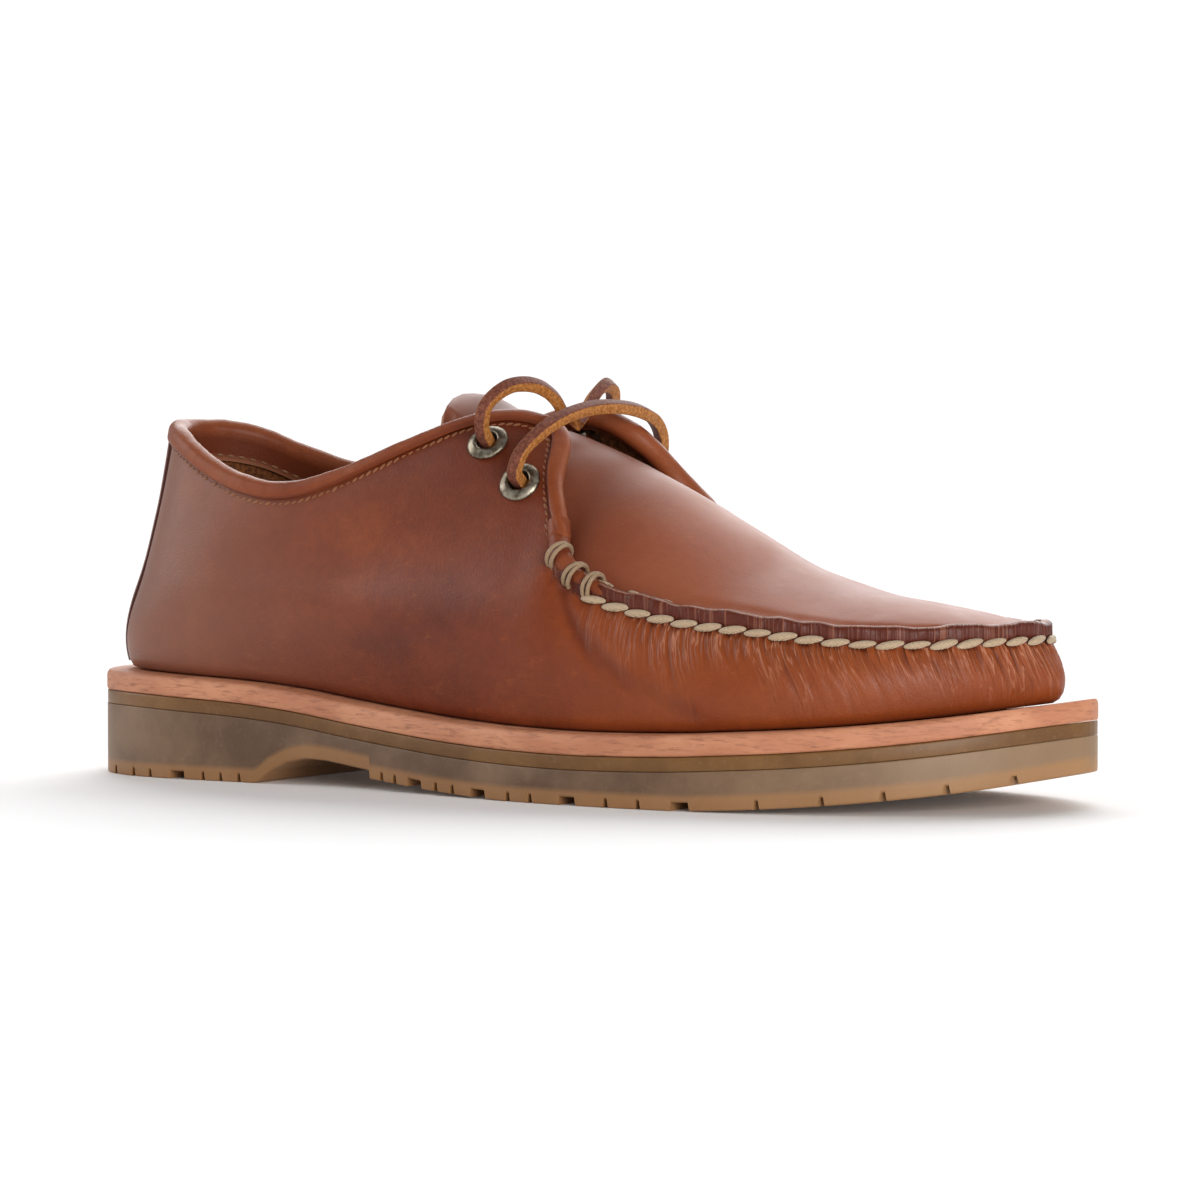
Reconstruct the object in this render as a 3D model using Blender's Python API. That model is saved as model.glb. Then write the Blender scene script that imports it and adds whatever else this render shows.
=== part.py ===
"""Right-foot moccasin-toe oxford shoe: a hand-sewn leather upper with a raised toe seam, a plug that
runs up into the tongue, two eyelets a side, a leather lace, and a lugged rubber outsole under a
leather midsole. Sizes are in metres; +X is the toe, -Y the outer (lateral) side, +Z up."""
import math

import bpy
import numpy as np

# Main sizes of the shoe, in metres
SOLE_LENGTH = 0.300
SOLE_WIDTH = 0.105
UPPER_RISE = 0.070
GAP = 0.0003

# Sole
OUTSOLE_BALL = 0.0089
RUBBER_LAYER = 0.0035
MIDSOLE = 0.0055
HEEL_LIFT = 0.0105
TOE_SPRING = 0.0096
ARCH_RISE = 0.0075
GROOVE_DEPTH = 0.0022
NARROW_GROOVE = 0.0013
WIDE_GROOVE = 0.0052
GROOVE_STEP = 0.00002
MIDSOLE_CHAMFER = 0.0009
RUBBER_INSET = 0.0003
OUTSOLE_INSET = 0.0002
SOLE_TIP = 0.00012
NARROWEST = 0.001

# Upper: its wall, its turned-in bottom edge and the raised seam of the toe
WALL = 0.0022
FEATHER_TUCK = 0.0016
FEATHER_RADIUS = 0.0024
FEATHER_SWELL = 0.00025
LASTING_MARGIN = 0.008
SIDE_LEDGE = 0.0052
TOE_LEDGE = 0.0076
RIDGE_HEIGHT = 0.0048
RIDGE_WIDTH = 0.004

# Plug, tongue and insole
PLUG_THICK = 0.002
PLUG_DROP = 0.0012
PLUG_CLEARANCE = 0.0003
PLUG_SHARES = [0.93, 0.905, 0.875, 0.84, 0.80, 0.76, 0.72, 0.68, 0.64, 0.605, 0.575, 0.555]
TONGUE_RADIUS = 0.025
TONGUE_MIDDLE = 0.00126
TONGUE_CLEARANCE = 0.003
FLAP_EDGE_RISE = 0.009
FLAP_EDGE_REACH = 0.005
INSOLE_THICK = 0.003
INSOLE_CLEARANCE = 0.001
INSOLE_TIP = 0.0003

# Binding of the collar and the flap fronts
BINDING_THICK = 0.0012
BINDING_CLEARANCE = 0.0003
BINDING_LEG = 0.0027
BINDING_INNER_LEG = 0.0085
BINDING_FLAP_LEG = 0.003
BINDING_START = 0.22
BINDING_FADE = (0.34, 0.42)
ROLL_ANGLES = [math.radians(a) for a in (0, 45, 90, 135, 180)]

# Strip over the heel seam
STRIP_THICK = 0.0014
STRIP_WIDTH = 0.024
STRIP_CLEARANCE = 0.0002
UPPER_TURN = 1.14  # length of one side of the upper, over the sole's length
STRIP_EDGE_SHARE = 0.003

# Eyelets and lace
EYELET_HOLE = 0.0027
EYELET_BARREL = 0.0033
EYELET_FLANGE = 0.0057
EYELET_BACK = 0.0046
EYELET_SEAT = 0.0007
EYELET_INNER_LIP = 0.0005
EYELET_LIP = 0.0011
EYELET_SHOULDER = 0.0009
EYELET_RIM = 0.00025
EYELET_BEVEL = 0.0008
EYELET_METAL = 0.0006
HOLE_REACH = 0.006
LACE_SIDE = 0.0032
LACE_LIFT = 0.0039

SOLE_STACK = OUTSOLE_BALL + RUBBER_LAYER + MIDSOLE + 2 * GAP

# Sole outline, as shares of the length and the width
SOLE_OUTLINE = [
    # station, lateral, medial
    (0.000, 0.000, 0.000),
    (0.010, 0.124, 0.124),
    (0.033, 0.229, 0.229),
    (0.067, 0.295, 0.295),
    (0.117, 0.333, 0.333),
    (0.200, 0.343, 0.324),
    (0.300, 0.362, 0.295),
    (0.400, 0.410, 0.292),
    (0.500, 0.467, 0.333),
    (0.600, 0.510, 0.410),
    (0.670, 0.519, 0.457),
    (0.735, 0.510, 0.481),
    (0.800, 0.471, 0.476),
    (0.867, 0.390, 0.433),
    (0.917, 0.300, 0.371),
    (0.960, 0.176, 0.276),
    (0.985, 0.067, 0.181),
    (1.000, -0.057, 0.057),
]

# Side profile of the sole: shares of the heel lift and of the toe spring at each station
SOLE_PROFILE = [
    # station, heel_lift, toe_top, toe_bottom
    (0.000, 1.010, 0.000, 0.000),
    (0.070, 1.000, 0.000, 0.000),
    (0.140, 0.930, 0.000, 0.000),
    (0.207, 0.840, 0.000, 0.000),
    (0.270, 0.690, 0.000, 0.000),
    (0.337, 0.460, 0.000, 0.000),
    (0.403, 0.270, 0.000, 0.000),
    (0.470, 0.115, 0.000, 0.000),
    (0.537, 0.030, 0.000, 0.000),
    (0.600, 0.000, 0.000, 0.000),
    (0.655, 0.000, 0.025, 0.000),
    (0.705, 0.000, 0.075, 0.000),
    (0.740, 0.000, 0.135, 0.045),
    (0.803, 0.000, 0.250, 0.165),
    (0.860, 0.000, 0.400, 0.320),
    (0.913, 0.000, 0.590, 0.510),
    (0.957, 0.000, 0.790, 0.720),
    (1.000, 0.000, 1.000, 1.000),
]

# Underside between the heel's front edge and the ball, as shares of the arch rise
ARCH = [
    # station, rise
    (0.2300, 0.00),
    (0.2360, 0.10),
    (0.2480, 0.46),
    (0.2680, 0.82),
    (0.2900, 1.00),
    (0.3150, 0.97),
    (0.3690, 0.72),
    (0.3700, 0.42),
    (0.4270, 0.21),
    (0.4930, 0.05),
    (0.5300, 0.00),
]

# Transverse grooves of the tread: the station of each one's middle and its width
TREAD = [
    # station, width
    (0.055, NARROW_GROOVE),
    (0.085, NARROW_GROOVE),
    (0.108, NARROW_GROOVE),
    (0.142, WIDE_GROOVE),
    (0.172, NARROW_GROOVE),
    (0.192, NARROW_GROOVE),
    (0.213, NARROW_GROOVE),
    (0.384, NARROW_GROOVE),
    (0.400, NARROW_GROOVE),
    (0.424, WIDE_GROOVE),
    (0.450, NARROW_GROOVE),
    (0.470, NARROW_GROOVE),
    (0.500, WIDE_GROOVE),
    (0.535, NARROW_GROOVE),
    (0.560, NARROW_GROOVE),
    (0.600, WIDE_GROOVE),
    (0.640, NARROW_GROOVE),
    (0.672, NARROW_GROOVE),
    (0.712, WIDE_GROOVE),
    (0.780, NARROW_GROOVE),
    (0.832, NARROW_GROOVE),
    (0.878, NARROW_GROOVE),
    (0.922, NARROW_GROOVE),
    (0.963, NARROW_GROOVE),
]

# Waist line of the upper: the line halfway up the quarters that becomes the toe's stitch line.
# Share of the way from heel to toe; place as shares of length and width; height above the midsole
# as a share of the upper's rise; and how far the wall leans in there, in degrees from upright.
WAIST_LATERAL = [
    # share, x, y, rise, lean
    (0.000, 0.035, 0.000, 0.400, 18.0),
    (0.120, 0.093, -0.250, 0.400, 12.0),
    (0.190, 0.155, -0.312, 0.400, 10.0),
    (0.270, 0.235, -0.335, 0.410, 12.0),
    (0.355, 0.328, -0.355, 0.440, 18.0),
    (0.430, 0.425, -0.385, 0.500, 26.0),
    (0.500, 0.520, -0.402, 0.560, 32.0),
    (0.535, 0.562, -0.402, 0.580, 33.0),
    (0.560, 0.585, -0.400, 0.515, 34.0),
    (0.590, 0.616, -0.399, 0.470, 36.0),
    (0.630, 0.655, -0.400, 0.428, 38.0),
    (0.680, 0.700, -0.395, 0.390, 38.0),
    (0.725, 0.745, -0.385, 0.362, 38.0),
    (0.770, 0.790, -0.366, 0.330, 37.0),
    (0.820, 0.842, -0.322, 0.292, 34.0),
    (0.870, 0.892, -0.247, 0.267, 28.0),
    (0.920, 0.931, -0.140, 0.250, 23.0),
    (0.960, 0.952, -0.040, 0.240, 20.0),
    (1.000, 0.960, 0.057, 0.236, 18.0),
]
WAIST_MEDIAL = [
    # share, x, y, rise, lean
    (0.120, 0.093, 0.250, 0.400, 12.0),
    (0.190, 0.155, 0.300, 0.400, 12.0),
    (0.270, 0.235, 0.305, 0.420, 16.0),
    (0.355, 0.328, 0.300, 0.460, 22.0),
    (0.430, 0.425, 0.310, 0.530, 28.0),
    (0.500, 0.536, 0.340, 0.610, 32.0),
    (0.535, 0.596, 0.356, 0.635, 34.0),
    (0.560, 0.625, 0.362, 0.590, 35.0),
    (0.590, 0.656, 0.368, 0.530, 36.0),
    (0.630, 0.690, 0.374, 0.470, 37.0),
    (0.680, 0.724, 0.375, 0.420, 37.0),
    (0.725, 0.762, 0.372, 0.380, 37.0),
    (0.770, 0.803, 0.356, 0.342, 36.0),
    (0.820, 0.848, 0.318, 0.302, 32.0),
    (0.870, 0.892, 0.256, 0.270, 28.0),
    (0.920, 0.930, 0.182, 0.248, 23.0),
    (0.960, 0.951, 0.120, 0.240, 20.0),
]

# Top edge of the quarters, from the heel along the collar to the front corner of the eyelet flap
THROAT_SHARE = 0.535
COLLAR_LATERAL = [
    # share, x, y, rise, lean
    (0.000, 0.066, 0.000, 0.978, 10.0),
    (0.120, 0.114, -0.200, 0.925, 10.0),
    (0.190, 0.166, -0.262, 0.828, 11.0),
    (0.235, 0.205, -0.290, 0.780, 13.0),
    (0.270, 0.240, -0.302, 0.765, 16.0),
    (0.300, 0.272, -0.300, 0.785, 20.0),
    (0.330, 0.305, -0.288, 0.840, 26.0),
    (0.370, 0.348, -0.266, 0.935, 34.0),
    (0.410, 0.394, -0.226, 1.040, 44.0),
    (0.450, 0.437, -0.180, 1.122, 54.0),
    (0.485, 0.474, -0.146, 1.148, 60.0),
    (0.510, 0.500, -0.130, 1.128, 62.0),
    (0.535, 0.524, -0.135, 1.080, 62.0),
]
COLLAR_MEDIAL = [
    # share, x, y, rise, lean
    (0.120, 0.110, 0.200, 0.945, 10.0),
    (0.190, 0.160, 0.262, 0.865, 12.0),
    (0.235, 0.200, 0.288, 0.822, 15.0),
    (0.270, 0.235, 0.300, 0.808, 18.0),
    (0.300, 0.268, 0.298, 0.820, 22.0),
    (0.330, 0.300, 0.288, 0.862, 28.0),
    (0.370, 0.346, 0.268, 0.955, 36.0),
    (0.410, 0.394, 0.232, 1.060, 46.0),
    (0.450, 0.444, 0.192, 1.145, 55.0),
    (0.485, 0.486, 0.162, 1.172, 60.0),
    (0.510, 0.518, 0.152, 1.140, 62.0),
    (0.535, 0.548, 0.162, 1.070, 62.0),
]

# Plug and tongue: height of the middle line above the midsole, as a share of the upper's rise
CROWN = [
    # station, rise
    (0.380, 1.215),
    (0.400, 1.215),
    (0.425, 1.180),
    (0.450, 1.130),
    (0.483, 1.105),
    (0.517, 1.062),
    (0.550, 1.010),
    (0.583, 0.945),
    (0.617, 0.872),
    (0.649, 0.795),
    (0.682, 0.712),
    (0.723, 0.602),
    (0.763, 0.530),
    (0.803, 0.472),
    (0.857, 0.425),
    (0.900, 0.386),
    (0.940, 0.330),
    (0.960, 0.300),
]
# Half width of the tongue at each station, as a share of the sole's width
TONGUE_WIDTH = [
    # station, half_width
    (0.384, 0.070),
    (0.391, 0.150),
    (0.404, 0.200),
    (0.428, 0.228),
    (0.458, 0.245),
    (0.490, 0.262),
    (0.520, 0.285),
    (0.546, 0.296),
]

# Middle of each eyelet: share along from heel to toe, and share of the way up the flap
EYELET_PLACES = [
    # side, label, share of the way to the toe, share up the flap
    ("lateral", "1", 0.473, 0.790),
    ("lateral", "2", 0.503, 0.530),
    ("medial", "1", 0.473, 0.790),
    ("medial", "2", 0.505, 0.530),
]

# Lace over the tongue, between the two lower eyelets: shares of the distance between them
LACE_BAR = [
    # across, ahead, rise
    (0.000, 0.000, 0.000),
    (0.005, 0.020, 0.075),
    (0.080, 0.055, 0.160),
    (0.200, 0.085, 0.225),
    (0.360, 0.100, 0.262),
    (0.560, 0.120, 0.268),
    (0.730, 0.110, 0.245),
    (0.870, 0.080, 0.205),
    (0.965, 0.045, 0.135),
    (1.003, 0.015, 0.060),
    (1.000, 0.000, 0.000),
]
# Free ends of the lace, from each upper eyelet into the throat: same shares, measured inwards
LACE_END_LATERAL = [
    # inward, ahead, rise
    (0.000, 0.000, 0.000),
    (-0.030, 0.030, 0.105),
    (0.045, 0.085, 0.185),
    (0.140, 0.118, 0.200),
    (0.240, 0.142, 0.180),
    (0.320, 0.158, 0.128),
    (0.350, 0.165, 0.085),
]
LACE_END_MEDIAL = [
    # inward, ahead, rise
    (0.000, 0.000, 0.000),
    (-0.020, 0.040, 0.095),
    (0.060, 0.090, 0.165),
    (0.170, 0.120, 0.180),
    (0.280, 0.135, 0.135),
    (0.380, 0.150, 0.065),
    (0.470, 0.165, 0.015),
]

COLOURS = {
    # name: colour, roughness, metallic
    "leather": ((0.30, 0.095, 0.040, 1.0), 0.42, 0.0),
    "binding_leather": ((0.33, 0.115, 0.055, 1.0), 0.45, 0.0),
    "natural_leather": ((0.56, 0.29, 0.19, 1.0), 0.70, 0.0),
    "amber_rubber": ((0.22, 0.13, 0.045, 1.0), 0.50, 0.0),
    "gum_rubber": ((0.20, 0.14, 0.095, 1.0), 0.48, 0.0),
    "lining_leather": ((0.40, 0.20, 0.08, 1.0), 0.80, 0.0),
    "brass": ((0.36, 0.31, 0.22, 1.0), 0.38, 1.0),
    "rawhide": ((0.26, 0.12, 0.07, 1.0), 0.62, 0.0),
}


def tangents(knots, values):
    """Slopes at each knot, from its two neighbours."""
    rise = np.diff(values, axis=0) / np.diff(knots)[:, None]
    before, after = np.diff(knots)[:-1, None], np.diff(knots)[1:, None]
    middle = (rise[:-1] * after + rise[1:] * before) / (before + after)
    return np.vstack([rise[:1], middle, rise[-1:]])


def flow(knots, values, at, slopes=None):
    """A smooth curve through the values, read at the places asked for."""
    knots, values = np.asarray(knots, float), np.asarray(values, float)
    flat = values.ndim == 1
    values = values.reshape(len(knots), -1)
    slopes = tangents(knots, values) if slopes is None else slopes
    at = np.clip(np.atleast_1d(np.asarray(at, float)), knots[0], knots[-1])
    k = np.clip(np.searchsorted(knots, at, side="right") - 1, 0, len(knots) - 2)
    width = (knots[k + 1] - knots[k])[:, None]
    t = (at[:, None] - knots[k][:, None]) / width
    found = (
        (1 + 2 * t) * (1 - t) ** 2 * values[k]
        + t * (1 - t) ** 2 * width * slopes[k]
        + t * t * (3 - 2 * t) * values[k + 1]
        + t * t * (t - 1) * width * slopes[k + 1]
    )
    return found[:, 0] if flat else found


def steady(knots, values):
    """Slopes that never overshoot between two knots, for profiles with flats."""
    knots, values = np.asarray(knots, float), np.asarray(values, float)
    rise = np.diff(values) / np.diff(knots)
    slopes = np.zeros(len(values))
    same_way = rise[:-1] * rise[1:] > 0
    with np.errstate(divide="ignore", invalid="ignore"):
        harmonic = 2 * rise[:-1] * rise[1:] / (rise[:-1] + rise[1:])
    slopes[1:-1] = np.where(same_way, harmonic, 0.0)
    slopes[0], slopes[-1] = rise[0], rise[-1]
    return slopes[:, None]


def profile(table, column, station):
    rows = np.array(table, float)
    slopes = steady(rows[:, 0], rows[:, column])
    return flow(rows[:, 0], rows[:, column], station, slopes)


def closed_spline(points, count):
    """Evenly spaced points along a smooth closed curve through the given ones."""
    points = np.asarray(points, float)
    n = len(points)
    step = np.linalg.norm(np.roll(points, -1, axis=0) - points, axis=1)
    matrix = np.zeros((n, n))
    right = np.zeros((n, 2))
    for i in range(n):
        before, after = step[i - 1], step[i]
        matrix[i, i - 1] += after
        matrix[i, i] += 2 * (before + after)
        matrix[i, (i + 1) % n] += before
        right[i] = 3 * (
            after * (points[i] - points[i - 1]) / before
            + before * (points[(i + 1) % n] - points[i]) / after
        )
    slopes = np.linalg.solve(matrix, right)
    knots = np.concatenate([[0], np.cumsum(step)])
    around = np.vstack([points, points[:1]])
    slopes = np.vstack([slopes, slopes[:1]])
    fine = flow(knots, around, np.linspace(0, knots[-1], 20 * n + 1), slopes)
    length = np.concatenate([[0], np.cumsum(np.linalg.norm(np.diff(fine, axis=0), axis=1))])
    at = np.linspace(0, length[-1], count, endpoint=False)
    return np.column_stack([np.interp(at, length, fine[:, axis]) for axis in (0, 1)])


def outline_sides():
    """The sole's edge from heel to toe, as dense points on the lateral and on the medial side."""
    rows = np.array(SOLE_OUTLINE) * (SOLE_LENGTH, SOLE_WIDTH, SOLE_WIDTH)
    lateral = rows[:, :2] * (1, -1)
    medial = rows[1:-1, ::2][::-1]
    around = closed_spline(np.vstack([lateral, medial]), 1440)
    heel, toe = around[:, 0].argmin(), around[:, 0].argmax()
    around = np.roll(around, -heel, axis=0)
    toe = (toe - heel) % len(around)
    return around[: toe + 1], np.vstack([around[:1], around[toe:][::-1]])


LATERAL_EDGE, MEDIAL_EDGE = outline_sides()
AXIS_SHIFT = (LATERAL_EDGE[:, 1].min() + MEDIAL_EDGE[:, 1].max()) / 2


def edge_at(share, side):
    """Point of the sole's edge and its outward direction, at a share of the way from heel to toe."""
    edge = LATERAL_EDGE if side == "lateral" else MEDIAL_EDGE
    step = np.linalg.norm(np.diff(edge, axis=0), axis=1)
    along = np.concatenate([[0], np.cumsum(step)]) / step.sum()
    at = np.atleast_1d(share)
    point = np.column_stack([np.interp(at, along, edge[:, axis]) for axis in (0, 1)])
    reach = 0.006
    low, high = np.clip(at - reach, 0, 1), np.clip(at + reach, 0, 1)
    ahead = np.column_stack(
        [np.interp(high, along, edge[:, k]) - np.interp(low, along, edge[:, k]) for k in (0, 1)]
    )
    ahead /= np.linalg.norm(ahead, axis=1)[:, None]
    turn = 1 if side == "lateral" else -1
    outward = np.column_stack([ahead[:, 1], -ahead[:, 0]]) * turn
    outward[at <= 0] = (-1, 0)
    outward[at >= 1] = (1, 0)
    return point, outward


def sole_top(x):
    """Height of the midsole's top face above the floor."""
    station = np.asarray(x, float) / SOLE_LENGTH
    heel = profile(SOLE_PROFILE, 1, station) * HEEL_LIFT
    toe = profile(SOLE_PROFILE, 2, station) * TOE_SPRING
    return SOLE_STACK + heel + toe


def sole_bottom(x):
    """Height of the outsole's tread face above the floor, without its grooves."""
    station = np.atleast_1d(np.asarray(x, float) / SOLE_LENGTH)
    toe = profile(SOLE_PROFILE, 3, station) * TOE_SPRING
    rows = np.array(ARCH)
    arch = np.interp(station, rows[:, 0], rows[:, 1], left=0, right=0) * ARCH_RISE
    return toe + arch


def ledge(share):
    """How far the midsole stands out past the upper, which grows towards the toe."""
    toeward = np.clip((np.asarray(share, float) - 0.7) / 0.3, 0, 1)
    return SIDE_LEDGE + (TOE_LEDGE - SIDE_LEDGE) * toeward * toeward * (3 - 2 * toeward)


def around_table(lateral, medial, first, last):
    """One table round the whole shoe: its knots run from -1 at the medial toe to 1 at the lateral one."""
    heel = [lateral[0]]
    toe = [row for row in lateral if row[0] >= 1]
    sides = [row for row in medial if first <= row[0] <= last]
    rows = [(-row[0], *row[1:]) for row in (sides + toe)[::-1]] + heel + lateral[1:]
    return np.array(rows)


def line_point(rows, turn):
    """x, y, z and lean on a table line, at turns from -1 (medial) through 0 (heel) to 1 (lateral)."""
    slopes = tangents(rows[:, 0], rows[:, 1:])
    if rows[-1, 0] >= 1:
        joined = (slopes[0] + slopes[-1]) / 2
        joined[1] = slopes[-1][1]
        slopes[0], slopes[-1] = joined, joined
        slopes[0, 0] = slopes[-1, 0] = 0
    found = flow(rows[:, 0], rows[:, 1:], turn, slopes)
    x, y = found[:, 0] * SOLE_LENGTH, found[:, 1] * SOLE_WIDTH
    z = sole_top(x) + found[:, 2] * UPPER_RISE
    return np.column_stack([x, y, z]), np.radians(found[:, 3])


WAIST = around_table(WAIST_LATERAL, WAIST_MEDIAL, 0, 1)
COLLAR = around_table(COLLAR_LATERAL, COLLAR_MEDIAL, 0, 1)


def side_of(turn):
    return "lateral" if turn >= 0 else "medial"


def outward_at(turn):
    _, outward = edge_at(abs(turn), side_of(turn))
    return np.array([outward[0][0], outward[0][1], 0.0])


def feather_at(turn, inset=0.0):
    """Point of the upper's bottom edge, and further in by inset."""
    point, outward = edge_at(abs(turn), side_of(turn))
    place = point[0] - outward[0] * (ledge(abs(turn)) + FEATHER_TUCK + inset)
    return np.array([place[0], place[1], sole_top(place[0])[0] + GAP])


def curve_between(start, start_way, end, end_way, shares):
    """Points on a cubic curve that leaves and arrives along the two given directions."""
    reach = np.linalg.norm(end - start) * 0.38
    corners = [start, start + start_way * reach, end - end_way * reach, end]
    t = np.asarray(shares)[:, None]
    weights = [(1 - t) ** 3, 3 * t * (1 - t) ** 2, 3 * t * t * (1 - t), t**3]
    return sum(w * c for w, c in zip(weights, corners))


UP = np.array([0.0, 0.0, 1.0])
BULGE = math.radians(16)
WALL_STEPS = np.linspace(0, 1, 6)
FLAP_STEPS = np.array([0.0, 0.09, 0.18, 0.34, 0.5, 0.66, 0.78, 0.89, 1.0])


def leaning(turn, lean):
    return math.cos(lean) * UP - math.sin(lean) * outward_at(turn)


def wall_line(turn, steps=WALL_STEPS):
    """The outer surface from the lasting margin under the foot up to the waist line."""
    outward = outward_at(turn)
    waist, lean = line_point(WAIST, turn)
    feather = feather_at(turn)
    margin = [feather_at(turn, LASTING_MARGIN), feather_at(turn, FEATHER_RADIUS)]
    foot = feather + UP * FEATHER_RADIUS + outward * FEATHER_SWELL
    corner = feather + UP * 0.3 * FEATHER_RADIUS - outward * 0.3 * FEATHER_RADIUS
    start_way = math.cos(BULGE) * UP + math.sin(BULGE) * outward
    wall = curve_between(foot, start_way, waist[0], leaning(turn, lean[0]), steps)
    return np.vstack([margin, corner, wall])


def flap_line(turn, steps=FLAP_STEPS):
    """The outer surface from the waist line up to the collar or the flap's edge."""
    waist, lean = line_point(WAIST, turn)
    top, top_lean = line_point(COLLAR, turn)
    return curve_between(
        waist[0], leaning(turn, lean[0]), top[0], leaning(turn, top_lean[0]), steps
    )


MARGIN_ROWS = 3
WAIST_ROW = MARGIN_ROWS + len(WALL_STEPS) - 1


def turns_round_shoe():
    """Where the upper's grid lines stand: closer together round the heel and the toe."""
    quarter = np.array([0, 0.02, 0.042, 0.068, 0.1, 0.135, 0.17, 0.205, 0.24, 0.27])
    flap = np.array([0.3, 0.33, 0.36, 0.39, 0.42, 0.45, 0.475, 0.495, 0.515, THROAT_SHARE])
    vamp = np.array([0.547, 0.56, 0.575, 0.595, 0.62, 0.65, 0.68, 0.71, 0.74, 0.77, 0.8, 0.825])
    toe = np.array([0.85, 0.87, 0.89, 0.91, 0.93, 0.95, 0.965, 0.98])
    one_side = np.concatenate([quarter, flap, vamp, toe])
    return np.concatenate([-one_side[:0:-1], one_side, [1.0]])


def shell_mesh(outer, inner, filled):
    """One closed wall from two matching grids; filled says which cells of the grid are there."""
    lines, rows = outer.shape[:2]
    points = np.vstack([outer.reshape(-1, 3), inner.reshape(-1, 3)])
    half = lines * rows

    def corner(line, row, layer):
        return (line % lines) * rows + row + layer * half

    faces = []
    for line in range(filled.shape[0]):
        for row in range(rows - 1):
            if not filled[line, row]:
                continue
            ring = [(line, row), (line + 1, row), (line + 1, row + 1), (line, row + 1)]
            faces.append([corner(*at, 0) for at in ring])
            faces.append([corner(*at, 1) for at in ring[::-1]])
            beside = [
                (row == 0 or not filled[line, row - 1], ring[0], ring[1]),
                (not is_filled(filled, line + 1, row, lines), ring[1], ring[2]),
                (row + 1 >= rows - 1 or not filled[line, row + 1], ring[2], ring[3]),
                (not is_filled(filled, line - 1, row, lines), ring[3], ring[0]),
            ]
            for is_open, one, two in beside:
                if is_open:
                    faces.append(
                        [corner(*two, 0), corner(*one, 0), corner(*one, 1), corner(*two, 1)]
                    )
    used = sorted({index for face in faces for index in face})
    renumber = {old: new for new, old in enumerate(used)}
    return points[used], [[renumber[index] for index in face] for face in faces]


def is_filled(filled, line, row, lines):
    closed = filled.shape[0] == lines
    if closed:
        return filled[line % lines, row]
    return 0 <= line < filled.shape[0] and filled[line, row]


def grid_normals(grid, closed):
    """Unit normals of a grid of points, outwards on the upper."""
    if closed:
        along = np.roll(grid, -1, axis=0) - np.roll(grid, 1, axis=0)
    else:
        along = np.gradient(grid, axis=0)
    normals = np.cross(along, np.gradient(grid, axis=1))
    return normals / np.maximum(np.linalg.norm(normals, axis=2), 1e-9)[:, :, None]


def ridge_share(turn):
    """0 on the quarters and 1 along the raised seam."""
    return 1.0 if abs(turn) > THROAT_SHARE + 0.001 else 0.0


def upper_grids():
    """Outer and inner surface of the whole upper, and which cells exist.

    Each line has the wall's rows, then the flap's rows. Along the raised seam only the first two of
    the flap's rows are used, and they stand upright as the seam's ridge."""
    turns = turns_round_shoe()
    lines = []
    for turn in turns:
        wall = wall_line(turn)
        if ridge_share(turn):
            top = wall[-1] + UP * RIDGE_HEIGHT
            flap = np.array([top] * (len(FLAP_STEPS) - 1))
            flap[0] = wall[-1] + UP * RIDGE_HEIGHT * 0.5
        else:
            flap = flap_line(turn)[1:]
        lines.append(np.vstack([wall, flap]))
    outer = np.array(lines)
    normals = grid_normals(outer, True)
    thick = np.full(outer.shape[:2], WALL)
    seam = np.array([ridge_share(turn) > 0 for turn in turns])
    fronts = np.where(~seam)[0][[0, -1]]
    for line, way in zip(fronts, (1, -1)):
        along = way * (outer[line + way] - outer[line])
        front = np.cross(along, np.gradient(outer[line], axis=0))
        front /= np.linalg.norm(front, axis=1)[:, None]
        normals[line, WAIST_ROW + 1 :] = front[WAIST_ROW + 1 :]
    for line in np.where(seam)[0]:
        outward = outward_at(turns[line])
        normals[line, WAIST_ROW + 1 :] = outward
        thick[line, WAIST_ROW + 1 :] = RIDGE_WIDTH
        thick[line, WAIST_ROW] = RIDGE_WIDTH * 0.8
        normals[line, WAIST_ROW] = outward * 0.85 + UP * 0.53
    inner = outer - normals * thick[:, :, None]
    inner[:, 0] = outer[:, 0] + UP * WALL
    filled = np.ones((len(turns), outer.shape[1] - 1), bool)
    beside_seam = seam | np.roll(seam, -1)
    filled[beside_seam, WAIST_ROW + 2 :] = False
    return turns, outer, inner, normals, filled, seam


def add_object(name, points, faces, material, smooth_angle=35):
    """A mesh object in metres, with the sole's middle on the origin."""
    shift = np.array([SOLE_LENGTH / 2, AXIS_SHIFT, 0.0])
    placed = np.asarray(points, float) - shift
    mesh = bpy.data.meshes.new(name)
    mesh.from_pydata(placed.tolist(), [], [list(map(int, face)) for face in faces])
    mesh.validate()
    made = bpy.data.objects.new(name, mesh)
    bpy.context.scene.collection.objects.link(made)
    mesh.materials.append(MATERIALS[material])
    mesh.shade_smooth()
    mesh.set_sharp_from_angle(angle=math.radians(smooth_angle))
    return made


def make_material(name, colour, roughness, metallic):
    material = bpy.data.materials.new(name)
    material.use_nodes = True
    shader = material.node_tree.nodes["Principled BSDF"]
    shader.inputs["Base Color"].default_value = colour
    shader.inputs["Roughness"].default_value = roughness
    shader.inputs["Metallic"].default_value = metallic
    return material


def cut(target, cutter, name):
    """Cuts one object from another and leaves the cutter as a hidden helper."""
    cutter.hide_render = True
    cutter.display_type = "WIRE"
    modifier = target.modifiers.new(name, "BOOLEAN")
    modifier.operation = "DIFFERENCE"
    modifier.solver = "EXACT"
    modifier.object = cutter


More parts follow.
